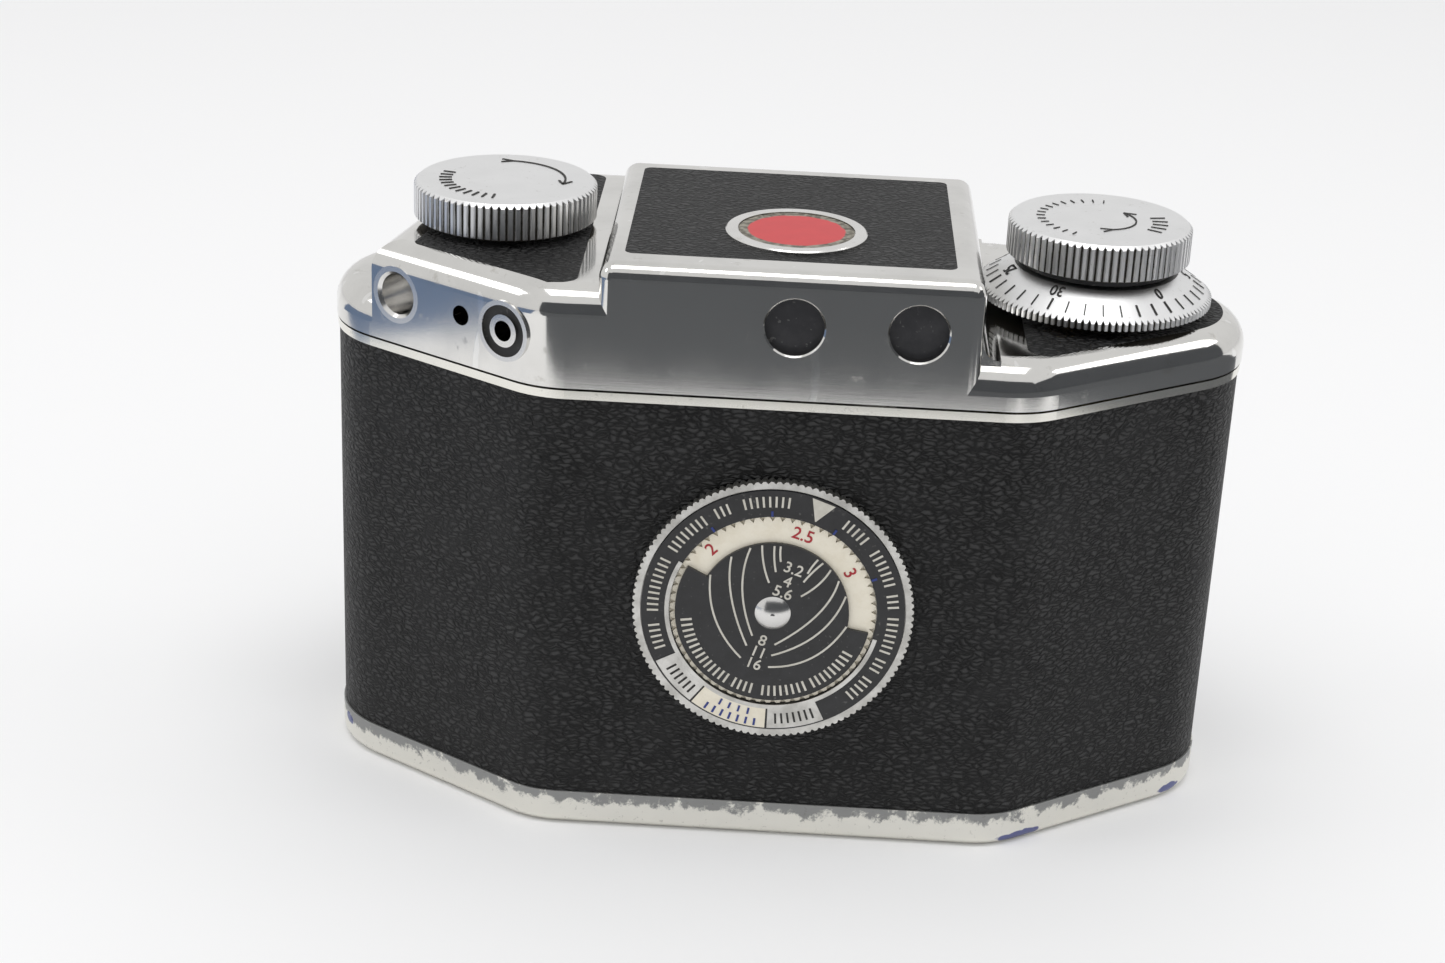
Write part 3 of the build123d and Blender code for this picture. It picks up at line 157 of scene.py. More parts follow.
class Shade:
    """Small builder for a procedural material: nodes are made by short calls and return output sockets."""

    def __init__(self, name):
        self.material = bpy.data.materials.new(name)
        self.material.use_nodes = True
        self.tree = self.material.node_tree
        self.shader = self.tree.nodes["Principled BSDF"]
        self.place = self.tree.nodes.new("ShaderNodeTexCoord").outputs["Object"]

    def put(self, socket, value):
        """Link an output to an input, or set the input to a constant."""
        if isinstance(value, bpy.types.NodeSocket):
            self.tree.links.new(value, socket)
        elif isinstance(value, (tuple, list)) and len(value) == 3 and socket.type == "RGBA":
            socket.default_value = (*value, 1)
        else:
            socket.default_value = value

    def math(self, operation, first, second=0.0, clamp=False):
        node = self.tree.nodes.new("ShaderNodeMath")
        node.operation = operation
        node.use_clamp = clamp
        self.put(node.inputs[0], first)
        self.put(node.inputs[1], second)
        return node.outputs[0]

    def scaled(self, scale, place=None, shift=(0, 0, 0)):
        """Coordinates multiplied by a scale on each axis."""
        node = self.tree.nodes.new("ShaderNodeMapping")
        self.put(node.inputs["Vector"], place or self.place)
        node.inputs["Scale"].default_value = scale
        node.inputs["Location"].default_value = shift
        return node.outputs[0]

    def noise(self, scale, detail=3.0, place=None, roughness=0.5):
        node = self.tree.nodes.new("ShaderNodeTexNoise")
        self.put(node.inputs["Vector"], place or self.place)
        node.inputs["Scale"].default_value = scale
        node.inputs["Detail"].default_value = detail
        node.inputs["Roughness"].default_value = roughness
        return node.outputs["Fac"]

    def wobble(self, scale, amount, place=None):
        """Coordinates pushed about by noise, so that cells and lines are not straight."""
        node = self.tree.nodes.new("ShaderNodeTexNoise")
        self.put(node.inputs["Vector"], place or self.place)
        node.inputs["Scale"].default_value = scale
        node.inputs["Detail"].default_value = 2.0
        push = self.tree.nodes.new("ShaderNodeVectorMath")
        push.operation = "MULTIPLY_ADD"
        self.put(push.inputs[0], node.outputs["Color"])
        push.inputs[1].default_value = (amount, amount, amount)
        self.put(push.inputs[2], place or self.place)
        return push.outputs[0]

    def cells(self, scale, place):
        """Distance to the nearest edge between cells, which draws creases round pebbles."""
        node = self.tree.nodes.new("ShaderNodeTexVoronoi")
        node.feature = "DISTANCE_TO_EDGE"
        self.put(node.inputs["Vector"], place)
        node.inputs["Scale"].default_value = scale
        return node.outputs["Distance"]

    def ramp(self, value, low, high, out_low=0.0, out_high=1.0):
        """Smooth step of a value between two limits."""
        node = self.tree.nodes.new("ShaderNodeMapRange")
        node.interpolation_type = "SMOOTHSTEP"
        self.put(node.inputs["Value"], value)
        node.inputs["From Min"].default_value = low
        node.inputs["From Max"].default_value = high
        node.inputs["To Min"].default_value = out_low
        node.inputs["To Max"].default_value = out_high
        return node.outputs["Result"]

    def mix(self, factor, first, second):
        node = self.tree.nodes.new("ShaderNodeMix")
        node.data_type = "RGBA"
        self.put(node.inputs[0], factor)
        self.put(node.inputs[6], first)
        self.put(node.inputs[7], second)
        return node.outputs[2]

    def split(self, place=None):
        node = self.tree.nodes.new("ShaderNodeSeparateXYZ")
        self.put(node.inputs[0], place or self.place)
        return node.outputs

    def distance(self, point, stretch=(1, 1, 1)):
        """Distance from a point, with each axis stretched."""
        shift = tuple(-value * factor for value, factor in zip(point, stretch))
        length = self.tree.nodes.new("ShaderNodeVectorMath")
        length.operation = "LENGTH"
        self.put(length.inputs[0], self.scaled(stretch, shift=shift))
        return length.outputs["Value"]

    def bump(self, height, depth, strength=1.0):
        node = self.tree.nodes.new("ShaderNodeBump")
        node.inputs["Distance"].default_value = depth
        node.inputs["Strength"].default_value = strength
        self.put(node.inputs["Height"], height)
        return node.outputs[0]

    def surface(self, **values):
        """Set the main shader's inputs by their plain names, with _ for a space."""
        for name, value in values.items():
            self.put(self.shader.inputs[name.replace("_", " ")], value)
        return self.material


def leather(name, stretch, depth):
    """Black leatherette: a wrinkled grain drawn out along one axis with painted shade along its creases,
    fine pores, dust and dull patches.
    """
    shade = Shade(name)
    bent = shade.wobble(650, 0.0011)
    pebbles = shade.cells(1.0, shade.scaled(stretch, bent))
    creases = shade.ramp(pebbles, 0.02, 0.34)
    swell = shade.noise(260, 2.0)
    pores = shade.noise(5200, 2.0)
    height = shade.math("ADD", creases, shade.math("MULTIPLY", pores, 0.25))
    height = shade.math("ADD", height, shade.math("MULTIPLY", swell, 0.8))
    worn = shade.ramp(shade.noise(130, 5.0, roughness=0.65), 0.42, 0.75)
    # Painted shade: the colour is darkest along the creases between the grain's pebbles.
    colour = shade.mix(creases, (0.0025, 0.0025, 0.0027), (0.036, 0.036, 0.0365))
    colour = shade.mix(shade.math("MULTIPLY", worn, 0.3), colour, (0.040, 0.040, 0.041))
    specks = shade.ramp(shade.noise(2600, 1.0), 0.80, 0.84)
    colour = shade.mix(shade.math("MULTIPLY", specks, 0.5), colour, (0.16, 0.155, 0.14))
    rough = shade.math("ADD", shade.math("MULTIPLY", worn, 0.10), 0.50)
    normal = shade.bump(height, depth)
    return shade.surface(Base_Color=colour, Roughness=rough, Normal=normal, Specular_IOR_Level=0.30)


def nickel(name, tint, rough, brush, streak):
    """Polished plated metal: hairline brushing along one way, scratches, haze and small stains."""
    shade = Shade(name)
    hair = shade.noise(1.0, 4.0, shade.scaled(brush), 0.7)
    haze = shade.noise(85, 5.0, roughness=0.6)
    stains = shade.ramp(shade.noise(420, 4.0, roughness=0.7), 0.60, 0.74)
    scratch_line = shade.noise(1.0, 1.0, shade.scaled(streak, shade.wobble(140, 0.004)))
    scratches = shade.ramp(scratch_line, 0.715, 0.74)
    colour = shade.mix(shade.ramp(haze, 0.35, 0.75), tint, tuple(value * 0.86 for value in tint))
    colour = shade.mix(shade.math("MULTIPLY", stains, 0.35), colour, (0.34, 0.31, 0.26))
    colour = shade.mix(shade.math("MULTIPLY", scratches, 0.4), colour, (0.95, 0.95, 0.94))
    roughness = shade.math("ADD", shade.ramp(haze, 0.3, 0.8, 0.0, 0.05), rough)
    roughness = shade.math("ADD", roughness, shade.math("MULTIPLY", stains, 0.12))
    height = shade.math("ADD", shade.math("MULTIPLY", hair, 0.6), scratches)
    normal = shade.bump(height, 0.003 * MM, 0.45)
    return shade.surface(Base_Color=colour, Metallic=1.0, Roughness=roughness, Normal=normal)


def rim_alloy(name, ink_spots):
    """Bright rims: polished at the top of the shell, dull and rubbed grey along the base, with ink marks."""
    shade = Shade(name)
    height = shade.split()[2]
    base = shade.math("LESS_THAN", height, 6 * MM)
    patches = shade.noise(330, 6.0, shade.wobble(200, 0.002), 0.72)
    fade = shade.ramp(height, 1.2 * MM, 4.4 * MM, -0.16, 0.15)
    worn = shade.math("MULTIPLY", shade.ramp(shade.math("ADD", patches, fade), 0.52, 0.62), base)
    specks = shade.ramp(shade.noise(1500, 3.0, roughness=0.7), 0.62, 0.70)
    bright = shade.mix(shade.noise(190, 3.0), (0.86, 0.84, 0.77), (0.76, 0.75, 0.70))
    colour = shade.mix(shade.math("MULTIPLY", worn, 0.85), bright, (0.25, 0.255, 0.26))
    colour = shade.mix(shade.math("MULTIPLY", specks, 0.3), colour, (0.20, 0.19, 0.17))
    for point, stretch in ink_spots:
        near = shade.ramp(shade.distance(point, stretch), 1.9 * MM, 0.5 * MM)
        ragged = shade.ramp(shade.math("ADD", near, shade.noise(900, 3.0)), 0.98, 1.2)
        colour = shade.mix(shade.math("MULTIPLY", ragged, 0.85), colour, (0.03, 0.05, 0.24))
    rough = shade.math("ADD", shade.math("MULTIPLY", worn, 0.22), 0.10)
    rough = shade.math("ADD", rough, shade.math("MULTIPLY", base, 0.20))
    uneven = shade.math("MULTIPLY", shade.math("SUBTRACT", patches, worn), base)
    normal = shade.bump(uneven, 0.03 * MM, 0.5)
    return shade.surface(Base_Color=colour, Metallic=0.95, Roughness=rough, Normal=normal)


def satin_knob(name, centre, root, tip, face):
    """Satin aluminium turned on a lathe: circular marks on the face, painted shade darkening the grooves
    between the knurls.
    """
    shade = Shade(name)
    around = shade.scaled((1, 1, 0), shift=(-centre[0], -centre[1], 0))
    x, y, _ = shade.split(around)
    square = shade.math("ADD", shade.math("MULTIPLY", x, x), shade.math("MULTIPLY", y, y))
    radius = shade.math("SQRT", square)
    turning = shade.math("SINE", shade.math("MULTIPLY", radius, 52000.0))
    rings = shade.noise(9000, 2.0, shade.scaled((1, 1, 0.1)))
    height_above = shade.split()[2]
    on_side = shade.math("LESS_THAN", height_above, face - 0.35 * MM)
    deep = shade.ramp(radius, tip, root)
    # Painted shade: deep in the grooves between the knurls on the side the colour is darkened, and the
    # surface there is rougher and less metallic.
    groove_shade_noise = shade.noise(900, 4.0, shade.scaled((1, 1, 0.35)), 0.7)
    painted_groove_shade = shade.math("MULTIPLY", shade.ramp(shade.math("ADD", deep, groove_shade_noise), 0.85, 1.25), on_side)
    spots = shade.ramp(shade.noise(1100, 3.0, roughness=0.7), 0.63, 0.72)
    bright = shade.mix(shade.noise(240, 4.0), (0.90, 0.90, 0.90), (0.80, 0.80, 0.80))
    colour = shade.mix(shade.math("MULTIPLY", spots, 0.35), bright, (0.45, 0.43, 0.40))
    colour = shade.mix(painted_groove_shade, colour, (0.045, 0.040, 0.032))
    rough = shade.math("ADD", shade.math("MULTIPLY", painted_groove_shade, 0.35), 0.36)
    height = shade.math("ADD", shade.math("MULTIPLY", turning, 0.25), rings)
    normal = shade.bump(height, 0.006 * MM, 0.5)
    metal = shade.math("SUBTRACT", 1.0, shade.math("MULTIPLY", painted_groove_shade, 0.7))
    return shade.surface(Base_Color=colour, Metallic=metal, Roughness=rough, Normal=normal)


def metal(name, first, second, rough, grain):
    """Plain worked metal with mottled colour and a fine tool grain."""
    shade = Shade(name)
    blotch = shade.noise(310, 5.0, roughness=0.65)
    marks = shade.noise(1.0, 3.0, shade.scaled(grain), 0.7)
    colour = shade.mix(shade.ramp(blotch, 0.3, 0.7), first, second)
    roughness = shade.math("ADD", shade.math("MULTIPLY", blotch, 0.18), rough)
    normal = shade.bump(marks, 0.005 * MM, 0.6)
    return shade.surface(Base_Color=colour, Metallic=1.0, Roughness=roughness, Normal=normal)


def paint(name, first, second, rough, coat=0.0, bump_depth=0.01, metallic=0.0):
    """Paint or enamel: slight mottling, fine orange peel and dust in the surface."""
    shade = Shade(name)
    blotch = shade.noise(420, 5.0, roughness=0.7)
    dust = shade.ramp(shade.noise(1900, 2.0), 0.66, 0.74)
    colour = shade.mix(shade.ramp(blotch, 0.35, 0.7), first, second)
    colour = shade.mix(shade.math("MULTIPLY", dust, 0.12), colour, (0.5, 0.49, 0.46))
    roughness = shade.math("ADD", shade.math("MULTIPLY", blotch, 0.15), rough)
    normal = shade.bump(shade.noise(2200, 2.0), bump_depth * MM, 0.5)
    return shade.surface(
        Base_Color=colour, Roughness=roughness, Normal=normal, Coat_Weight=coat, Metallic=metallic
    )


def glass(name, tint):
    """Old coated glass with faint haze."""
    shade = Shade(name)
    haze = shade.ramp(shade.noise(500, 4.0), 0.45, 0.8, 0.03, 0.13)
    normal = shade.bump(shade.noise(90, 1.0), 0.01 * MM, 0.2)
    return shade.surface(
        Base_Color=tint, Roughness=haze, Normal=normal, Transmission_Weight=0.85, Specular_IOR_Level=0.6
    )


def enamel(name, centre, inner, outer):
    """Red badge enamel inside a soiled beige border ring."""
    shade = Shade(name)
    reach = shade.distance(centre, (1, 1, 0))
    edge = shade.math("ADD", reach, shade.math("MULTIPLY", shade.noise(900, 4.0), 0.5 * MM))
    border = shade.ramp(edge, inner + 0.15 * MM, inner + 0.35 * MM)
    red = shade.mix(shade.noise(500, 4.0), (0.50, 0.008, 0.014), (0.60, 0.018, 0.022))
    dirt = shade.mix(shade.ramp(shade.noise(1300, 5.0), 0.35, 0.65), (0.10, 0.09, 0.07), (0.30, 0.28, 0.23))
    colour = shade.mix(border, red, dirt)
    normal = shade.bump(shade.ramp(reach, inner, outer), 0.12 * MM, 0.7)
    rough = shade.math("ADD", shade.math("MULTIPLY", border, 0.25), 0.28)
    return shade.surface(Base_Color=colour, Roughness=rough, Normal=normal, Specular_IOR_Level=0.3)


# ---- Materials ------------------------------------------------------------------------------------

rewind_low, rewind_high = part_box("rewind_knob")
wind_low, wind_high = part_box("wind_knob")
dial_low, dial_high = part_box("film_reminder_dial")
counter_low, counter_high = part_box("counter_dial")
enamel_low, enamel_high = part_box("badge_enamel")
REWIND = (rewind_low + rewind_high) / 2
WIND = (wind_low + wind_high) / 2
DIAL = (dial_low + dial_high) / 2
BADGE = (enamel_low + enamel_high) / 2
KNOB_RADIUS = (rewind_high.x - rewind_low.x) / 2
KNURL_ROOT = KNOB_RADIUS - 0.38 * MM
KNURL_TIP = KNOB_RADIUS - 0.02 * MM
COUNTER_RADIUS = (counter_high.x - counter_low.x) / 2

INK_SPOTS = [
    ((-31 * MM, 21.9 * MM, 0.9 * MM), (0.35, 0.35, 1.9)),
    ((-50 * MM, 8.5 * MM, 1.2 * MM), (0.6, 0.6, 1.9)),
    ((52.6 * MM, 6.0 * MM, 3.0 * MM), (0.9, 0.9, 1.6)),
]

LEATHER_BACK = leather("leather_back", (800, 800, 2050), 0.24 * MM)
LEATHER_DECK = leather("leather_deck", (850, 1650, 850), 0.26 * MM)
NICKEL = nickel("bright_nickel", (0.77, 0.76, 0.735), 0.075, (160, 2500, 9000), (500, 500, 90))
NICKEL_TRIM = nickel("nickel_trim", (0.80, 0.79, 0.77), 0.20, (900, 900, 900), (400, 400, 400))
RIM = rim_alloy("rim_alloy", INK_SPOTS)
KNOB_REWIND = satin_knob("satin_rewind", REWIND, KNURL_ROOT, KNURL_TIP, rewind_high.z)
KNOB_WIND = satin_knob("satin_wind", WIND, KNURL_ROOT, KNURL_TIP, wind_high.z)
COUNTER = satin_knob(
    "satin_counter", WIND, COUNTER_RADIUS - 0.42 * MM, COUNTER_RADIUS, counter_low.z + 1.2 * MM
)
SATIN = metal("satin_alloy", (0.82, 0.82, 0.82), (0.68, 0.68, 0.67), 0.30, (1500, 1500, 1500))
DIAL_METAL = metal("dial_metal", (0.74, 0.73, 0.70), (0.50, 0.49, 0.46), 0.26, (2500, 2500, 2500))
STEEL = metal("steel_works", (0.46, 0.46, 0.47), (0.30, 0.30, 0.31), 0.34, (400, 400, 4000))
BRASS = metal("brass_works", (0.60, 0.42, 0.16), (0.45, 0.31, 0.12), 0.30, (900, 900, 5000))
DIE_CAST = paint("die_cast", (0.035, 0.035, 0.037), (0.055, 0.055, 0.058), 0.55, metallic=0.2)
BLACK_PAINT = paint("black_paint", (0.011, 0.011, 0.012), (0.019, 0.019, 0.021), 0.34, coat=0.15)
CREAM = paint("cream_scale", (0.83, 0.78, 0.66), (0.76, 0.70, 0.57), 0.42, coat=0.1)
INSULATOR = paint("black_insulator", (0.010, 0.010, 0.010), (0.022, 0.021, 0.020), 0.45)
RED_INK = paint("red_ink", (0.42, 0.02, 0.03), (0.34, 0.02, 0.03), 0.5)
BLUE_INK = paint("blue_ink", (0.02, 0.04, 0.20), (0.03, 0.05, 0.24), 0.5)
PALE_INK = paint("pale_ink", (0.62, 0.60, 0.54), (0.52, 0.50, 0.44), 0.5)
DARK_INK = paint("engraved_ink", (0.018, 0.017, 0.016), (0.035, 0.033, 0.030), 0.6)
GLASS = glass("optical_glass", (0.62, 0.64, 0.68))
EYE_GLASS = paint("eyepiece_glass", (0.030, 0.030, 0.033), (0.038, 0.038, 0.041), 0.12, bump_depth=0.002)
MIRROR = metal("mirror_glass", (0.88, 0.88, 0.90), (0.82, 0.82, 0.84), 0.04, (300, 300, 300))
ENAMEL = enamel("red_enamel", (BADGE.x, BADGE.y, 0), 5.55 * MM, 6.6 * MM)

SLOT_MATERIALS = {
    "bright_nickel": NICKEL,
    "rim_alloy": RIM,
    "black_leather": LEATHER_BACK,
    "satin_alloy": SATIN,
    "steel_works": STEEL,
    "brass_works": BRASS,
    "die_cast": DIE_CAST,
    "black_paint": BLACK_PAINT,
    "cream_scale": CREAM,
    "black_insulator": INSULATOR,
    "red_enamel": ENAMEL,
    "optical_glass": GLASS,
    "mirror_glass": MIRROR,
}
NODE_MATERIALS = {
    "rewind_deck_leather": LEATHER_DECK,
    "wind_deck_leather": LEATHER_DECK,
    "finder_leather": LEATHER_DECK,
    "badge_bezel": NICKEL_TRIM,
    "flash_ring": NICKEL_TRIM,
    "bracket_bush": NICKEL_TRIM,
    "rewind_knob": KNOB_REWIND,
    "wind_knob": KNOB_WIND,
    "counter_dial": COUNTER,
    "film_reminder_dial": DIAL_METAL,
    "dial_rivet": NICKEL_TRIM,
    "eyepieces": EYE_GLASS,
}


def dress_nodes():
    for part in frame["record"]["subparts"]:
        node = frame["nodes"][part["node"]]
        material = NODE_MATERIALS.get(part["node"], SLOT_MATERIALS[part["material_slot"]])
        node.data.materials.clear()
        node.data.materials.append(material)


# ---- Marks: flat inked shapes that lie just over a face --------------------------------------------


def riding_piece(gathered, name, material, body):
    """Turns a finished bmesh into a named piece that rides on a body."""
    bmesh.ops.recalc_face_normals(gathered, faces=gathered.faces)
    data = bpy.data.meshes.new(name)
    gathered.to_mesh(data)
    gathered.free()
    data.materials.append(material)
    piece = bpy.data.objects.new(name, data)
    bpy.context.scene.collection.objects.link(piece)
    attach(piece, body)


class Marks:
    """Collects small flat shapes drawn on one face and makes them into one thin mesh."""

    def __init__(self, place):
        self.mesh = bmesh.new()
        self.place = place

    def strip(self, points, width):
        """Ribbon along points in the face's own plane; width is one value, or one for each point."""
        widths = width if isinstance(width, list) else [width] * len(points)
        left, right = [], []
        last = len(points) - 1
        for index, point in enumerate(points):
            before = Vector(points[max(index - 1, 0)])
            after = Vector(points[min(index + 1, last)])
            along = (after - before).normalized()
            side = Vector((-along.y, along.x)) * widths[index] / 2
            left.append(Vector(point) + side)
            right.append(Vector(point) - side)
        self.band(left, right)

    def band(self, first, second):
        """Faces between two lines of points, with a thin edge all round."""
        lines = []
        for depth in (MARK_DEPTH, 0.0):
            lines.append([self.mesh.verts.new(self.place(*point, depth)) for point in first])
            lines.append([self.mesh.verts.new(self.place(*point, depth)) for point in second])
        top_first, top_second, low_first, low_second = lines
        for index in range(len(first) - 1):
            self.quad(top_second, top_first, index)
            self.quad(low_first, low_second, index)
            self.quad(top_first, low_first, index)
            self.quad(low_second, top_second, index)
        for end in (0, -1):
            corners = [top_first[end], top_second[end], low_second[end], low_first[end]]
            self.mesh.faces.new(corners if end == 0 else corners[::-1])

    def quad(self, one, two, index):
        self.mesh.faces.new((one[index], one[index + 1], two[index + 1], two[index]))

    def arc(self, radius, start, end, width, steps=32):
        """Curved band about the face's centre, between two angles."""
        angles = [start + (end - start) * index / steps for index in range(steps + 1)]
        inner, outer = radius - width / 2, radius + width / 2
        self.band(
            [(inner * math.cos(angle), inner * math.sin(angle)) for angle in angles],
            [(outer * math.cos(angle), outer * math.sin(angle)) for angle in angles],
        )

    def spoke(self, angle, inner, outer, width):
        ends = [(radius * math.cos(angle), radius * math.sin(angle)) for radius in (inner, outer)]
        self.strip(ends, width)

    def finish(self, name, material, body):
        riding_piece(self.mesh, name, material, body)


def number_piece(name, items, size, material, body, place):
    """Numbers as one mesh: each item is text, a point in the face's plane, and its turn."""
    gathered = bmesh.new()
    for text, (x, y), turn in items:
        curve = bpy.data.curves.new(name, "FONT")
        curve.body = text
        curve.size = size
        curve.align_x = "CENTER"
        curve.align_y = "CENTER"
        curve.resolution_u = 4
        curve.extrude = MARK_DEPTH / 2
        curve.offset = size * 0.008
        letter = bpy.data.objects.new(name, curve)
        bpy.context.scene.collection.objects.link(letter)
        bpy.context.view_layer.update()
        depsgraph = bpy.context.evaluated_depsgraph_get()
        flat = bpy.data.meshes.new_from_object(letter.evaluated_get(depsgraph))
        bpy.data.objects.remove(letter)
        bpy.data.curves.remove(curve)
        spin = Matrix.Rotation(turn, 3, "Z")
        for vertex in flat.vertices:
            turned = spin @ vertex.co
            vertex.co = place(x + turned.x, y + turned.y, turned.z + MARK_DEPTH / 2)
        gathered.from_mesh(flat)
        bpy.data.meshes.remove(flat)
    bmesh.ops.remove_doubles(gathered, verts=gathered.verts, dist=0.0005 * MM)
    riding_piece(gathered, name, material, body)


def on_top(centre, level):
    """Places on a level face seen from above, turned so that +x runs to the right as seen from behind."""
    return lambda x, y, height=0.0: Vector((centre.x - x, centre.y - y, level + INK_LIFT + height))


def on_back(level):
    """Places on the dial, x to the right and y up as seen from behind."""
    return lambda x, y, height=0.0: Vector((DIAL.x - x, level + INK_LIFT + height, DIAL.z + y))


def on_back_above(place):
    """The same face, one mark's thickness further out."""
    return lambda x, y, height=0.0: place(x, y, height + MARK_DEPTH)


# ---- Knobs and counter ------------------------------------------------------------------------------


ARROW_STEPS = 24
HEAD_SPREAD, TAIL_SPREAD = 0.55, 0.42
FORK_LENGTH = 1.5 * MM


def arrow(name, centre, level, radius, start, end, width, body):
    """Engraved curved arrow with a forked tail; radius gives its distance out at each angle."""
    marks = Marks(on_top(centre, level))
    angles = [start + (end - start) * index / ARROW_STEPS for index in range(ARROW_STEPS + 1)]
    points = [(radius(angle) * math.cos(angle), radius(angle) * math.sin(angle)) for angle in angles]
    marks.strip(points, width)
    sense = 1 if end > start else -1
    for at, spread in ((end, HEAD_SPREAD), (start, TAIL_SPREAD)):
        tip = Vector((radius(at) * math.cos(at), radius(at) * math.sin(at)))
        back = Vector((math.sin(at), -math.cos(at))) * sense
        for fork in (-spread, spread):
            reach = Matrix.Rotation(fork, 2) @ back * FORK_LENGTH
            marks.strip([tip, tip + reach], width)
    marks.finish(name, DARK_INK, body)


def dress_knobs():
    """Arrows and rows of strokes on the flat tops of both knobs."""
    rewind_top = rewind_high.z
    wind_top = wind_high.z
    arrow(
        "rewind_arrow", REWIND, rewind_top,
        lambda angle: (6.9 + 0.4 * angle) * MM,
        math.radians(90), math.radians(-8), 0.26 * MM, "rewind_knob",
    )
    arrow(
        "wind_arrow", WIND, wind_top, lambda angle: 4.1 * MM,
        math.radians(-75), math.radians(44), 0.2 * MM, "wind_knob",
    )
    ticks = Marks(on_top(REWIND, rewind_top))
    for index in range(12):
        ticks.spoke(math.radians(-95 - index * 9), 6.3 * MM, 7.8 * MM, 0.26 * MM)
    ticks.finish("rewind_grip_marks", DARK_INK, "rewind_knob")
    ticks = Marks(on_top(WIND, wind_top))
    for index in range(16):
        ticks.spoke(math.radians(82 + index * 10.5), 6.5 * MM, 7.5 * MM, 0.16 * MM)
    for index in range(5):
        ticks.spoke(math.radians(-32 + index * 11), 6.0 * MM, 7.8 * MM, 0.2 * MM)
    ticks.finish("wind_grip_marks", DARK_INK, "wind_knob")


COUNTER_DIVISIONS = 37
COUNTER_ZERO = math.radians(-51.8)
COUNTER_NUMBERS_AT = 10.35 * MM
CONE_OUTER, CONE_INNER = 13.8 * MM, 9.6 * MM
CONE_LOW = counter_low.z + 0.7 * MM
CONE_HIGH = counter_high.z
CONE_SLOPE = math.atan2(CONE_HIGH - CONE_LOW, CONE_OUTER - CONE_INNER)


def on_cone(x, y, height=0.0):
    """Places on the counter's sloping face, x and y as seen from above and behind."""
    radius = math.hypot(x, y)
    rise = (CONE_OUTER - radius) / (CONE_OUTER - CONE_INNER) * (CONE_HIGH - CONE_LOW)
    lift = INK_LIFT + height
    out = 1 + lift * math.sin(CONE_SLOPE) / radius
    return Vector((WIND.x - x * out, WIND.y - y * out, CONE_LOW + rise + lift * math.cos(CONE_SLOPE)))


def dress_counter():
    """Divisions and frame numbers round the counter's sloping face."""
    ticks = Marks(on_cone)
    for number in range(COUNTER_DIVISIONS):
        angle = COUNTER_ZERO + 2 * math.pi * number / COUNTER_DIVISIONS
        bold = number == COUNTER_DIVISIONS - 1 or number % 5 == 0
        ticks.spoke(angle, 11.4 * MM, 12.75 * MM, (0.24 if bold else 0.14) * MM)
    ticks.finish("counter_ticks", DARK_INK, "counter_dial")
    items = []
    for number in range(0, 31, 5):
        angle = COUNTER_ZERO + 2 * math.pi * number / COUNTER_DIVISIONS
        point = (COUNTER_NUMBERS_AT * math.cos(angle), COUNTER_NUMBERS_AT * math.sin(angle))
        items.append((str(number), point, angle - math.pi / 2))
    number_piece("counter_numbers", items, 1.75 * MM, DARK_INK, "counter_dial", on_cone)


# ---- Dial on the back --------------------------------------------------------------------------------


def clock(degrees, radius):
    """Point on the dial at an angle clockwise from the top."""
    turn = math.radians(degrees)
    return (radius * MM * math.sin(turn), radius * MM * math.cos(turn))


def plain(degrees):
    """Angle from +x, counter-clockwise, of a clockwise angle from the top."""
    return math.radians(90 - degrees)


def bowed(points, steps=14):
    """Smooth line through two or three points."""
    if len(points) == 2:
        start, end = (Vector(point) for point in points)
        middle = (start + end) / 2 + Vector((end.y - start.y, start.x - end.x)) * 0.03
    else:
        start, middle, end = (Vector(point) for point in points)
    pull = 2 * middle - (start + end) / 2
    line = []
    for index in range(steps + 1):
        t = index / steps
        line.append((start * (1 - t) ** 2 + pull * 2 * t * (1 - t) + end * t**2) * MM)
    return line


PRINT_TURN = math.radians(-18)      # the dial's printing is turned clockwise from upright
STOP_NUMBERS = [                    # text and place, in millimetres from the dial's centre
    ("3.2", (2.1, 5.6)), ("4", (1.5, 4.0)), ("5.6", (1.0, 2.6)),
    ("8", (-1.0, -3.6)), ("11", (-1.4, -5.1)), ("16", (-1.9, -6.6)),
]
DEPTH_CURVES = [                    # two or three points on each line, in the same units
    [(0.5, 8.4), (0.6, 6.5)],
    [(-0.2, 8.4), (0.1, 5.2)],
    [(-1.6, 8.4), (-1.3, 6.0), (-0.6, 3.8)],
    [(-2.9, 8.0), (-3.6, 2.8), (-2.2, -3.0)],
    [(-5.0, 6.8), (-4.8, 1.7), (-2.8, -4.3)],
    [(-7.3, 4.4), (-6.5, -1.2), (-3.4, -5.9)],
    [(4.8, 7.0), (3.7, 5.2)],
    [(5.4, 6.6), (3.3, 4.1)],
    [(6.3, 5.8), (5.0, 3.9), (3.1, 2.3)],
    [(7.3, 4.5), (5.1, 0.1), (0.4, -4.0)],
    [(8.2, 2.6), (5.3, -2.3), (0.1, -5.4)],
    [(8.5, -1.2), (4.8, -5.4), (-0.2, -6.9)],
]


RING_MIDDLE, RING_BAND = 13.65 * MM, 2.5 * MM
STROKE = 0.24 * MM
RING_WORDS = [
    (-112, -98), (-92, -64), (-58, -36), (-30, -22), (-16, 6), (34, 48),
    (54, 72), (78, 86), (90, 108), (113, 119), (125, 139),
]
CENTRE_WORDS = [(118, 150), (156, 186), (192, 204), (210, 262)]


def stroke_rows(marks, rows, step, inner, outer, width=STROKE):
    """Rows of short strokes where the real dial has words, each from one clock angle to another."""
    for first, last in rows:
        for degrees in range(first, last + 1, step):
            marks.spoke(plain(degrees), inner * MM, outer * MM, width)


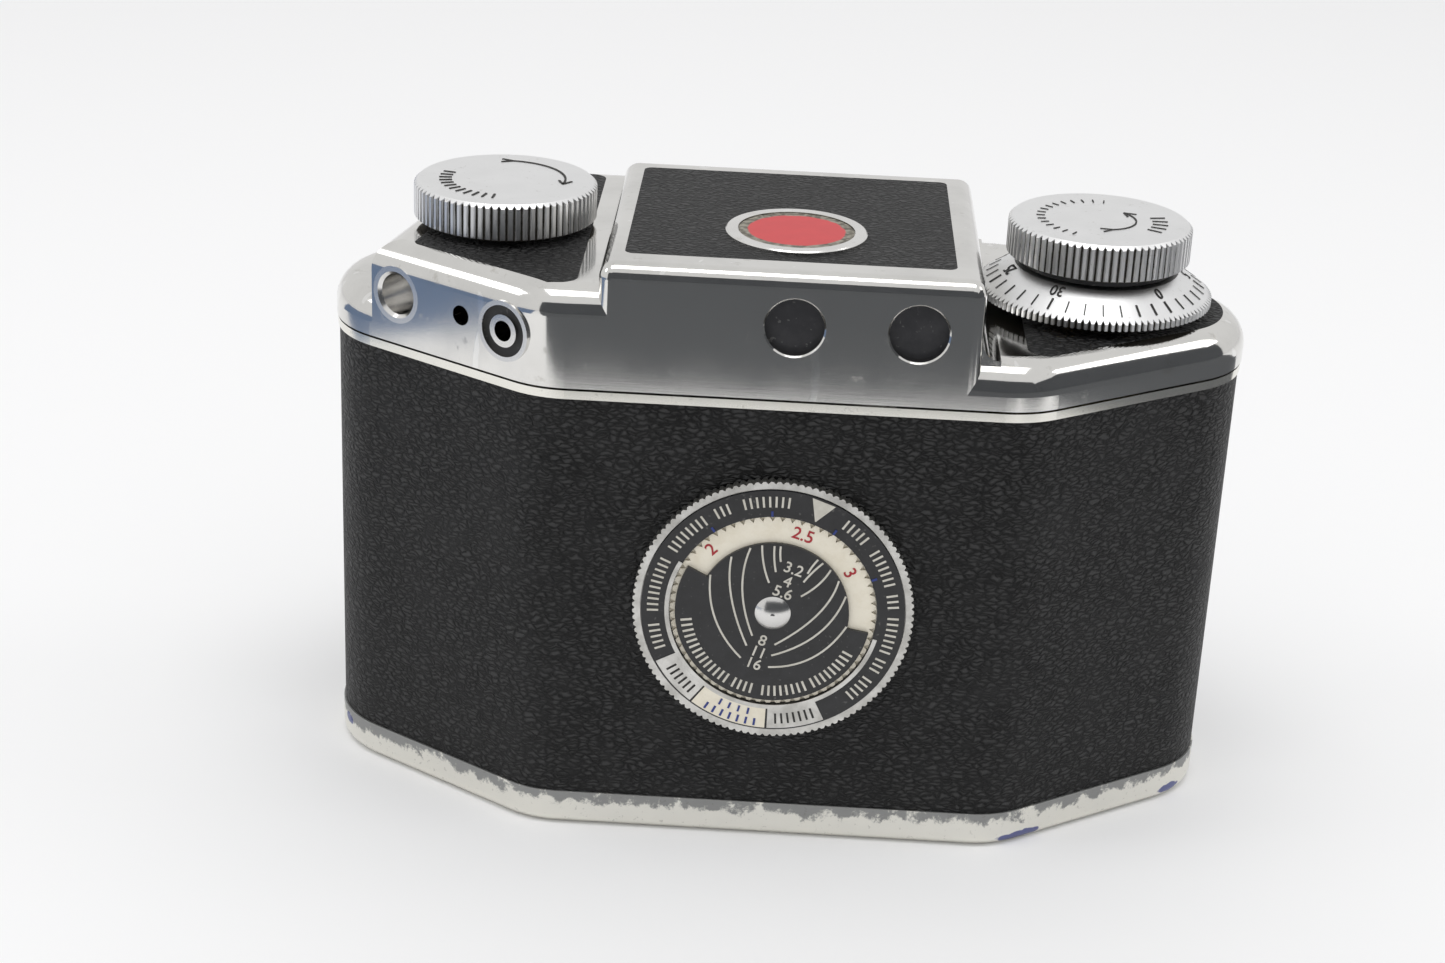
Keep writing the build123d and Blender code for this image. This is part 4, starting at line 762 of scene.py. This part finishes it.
def ring_print(ring):
    """Printing on the fixed ring: an index, rows of strokes, and the blocks round the film window."""
    pale = Marks(ring)
    stroke_rows(pale, RING_WORDS, 3, 13.1, 14.4)
    pale.strip([clock(20, 12.35), clock(20, 14.9)], [0.1 * MM, 2.8 * MM])
    pale.finish("dial_ring_print", PALE_INK, "back")

    bright = Marks(ring)
    bright.arc(12.15 * MM, plain(103), plain(298), 0.5 * MM, 64)
    for start, end in ((154, 180), (217.5, 242)):
        bright.arc(RING_MIDDLE, plain(start), plain(end), RING_BAND)
    bright.finish("dial_ring_bright", DIAL_METAL, "back")

    window = Marks(ring)
    window.arc(RING_MIDDLE, plain(181), plain(216.5), RING_BAND)
    window.finish("film_window", CREAM, "back")

    strokes = Marks(on_back_above(ring))
    stroke_rows(strokes, [(158, 176), (221, 238)], 3, 13.0, 14.3)
    strokes.finish("block_strokes", DARK_INK, "back")

    blue = Marks(on_back_above(ring))
    stroke_rows(blue, [(186, 213)], 4, 13.8, 14.7, 0.26 * MM)
    stroke_rows(blue, [(190, 209)], 5, 12.6, 13.4)
    blue.finish("window_strokes", BLUE_INK, "back")

    notches = Marks(ring)
    for degrees in (-36, -3, 32, 67):
        notches.spoke(plain(degrees), 11.95 * MM, 12.6 * MM, 0.26 * MM)
    notches.finish("ring_notches", BLUE_INK, "back")


def dress_dial():
    """Printing on the dial's four parts: ring, toothed edge, cream disc and black centre."""
    ring_print(on_back(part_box("dial_ring")[1].y))

    under = Marks(on_back(dial_low.y + 0.7 * MM - INK_LIFT / 2))
    under.arc(11.45 * MM, plain(-60), plain(300), 0.84 * MM, 96)
    under.finish("cream_under_teeth", CREAM, "film_reminder_dial")

    disc = on_back(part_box("distance_disc")[1].y - INK_LIFT)
    feet = [("2", -45, 10.35), ("2.5", 17, 10.1), ("3", 58, 10.0)]
    items = [(text, clock(degrees, radius), -math.radians(degrees)) for text, degrees, radius in feet]
    number_piece("distance_numbers", items, 2.1 * MM, RED_INK, "distance_disc", disc)

    centre = on_back(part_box("dial_centre")[1].y - INK_LIFT)
    items = [(text, (x * MM, y * MM), PRINT_TURN) for text, (x, y) in STOP_NUMBERS]
    number_piece("stop_numbers", items, 1.9 * MM, PALE_INK, "back", centre)
    lines = Marks(centre)
    for points in DEPTH_CURVES:
        lines.strip(bowed(points), 0.22 * MM)
    stroke_rows(lines, CENTRE_WORDS, 4, 9.3, 10.6, 0.26 * MM)
    lines.finish("depth_curves", PALE_INK, "back")


# ---- The scene -------------------------------------------------------------------------------------

dress_nodes()
dress_knobs()
dress_counter()
dress_dial()

make_camera()
make_floor()
make_world()
for name, place, size, power in SOFTBOXES:
    softbox(name, place, size, power)
card("dark_floor", DARK_FLOOR, DARK)
card("dark_wall", DARK_WALL, DARK)
card("dark_side", DARK_SIDE, DARK)
card("blue_side", BLUE_SIDE, BLUE_GREY)

bpy.context.scene.view_settings.view_transform = "Standard"
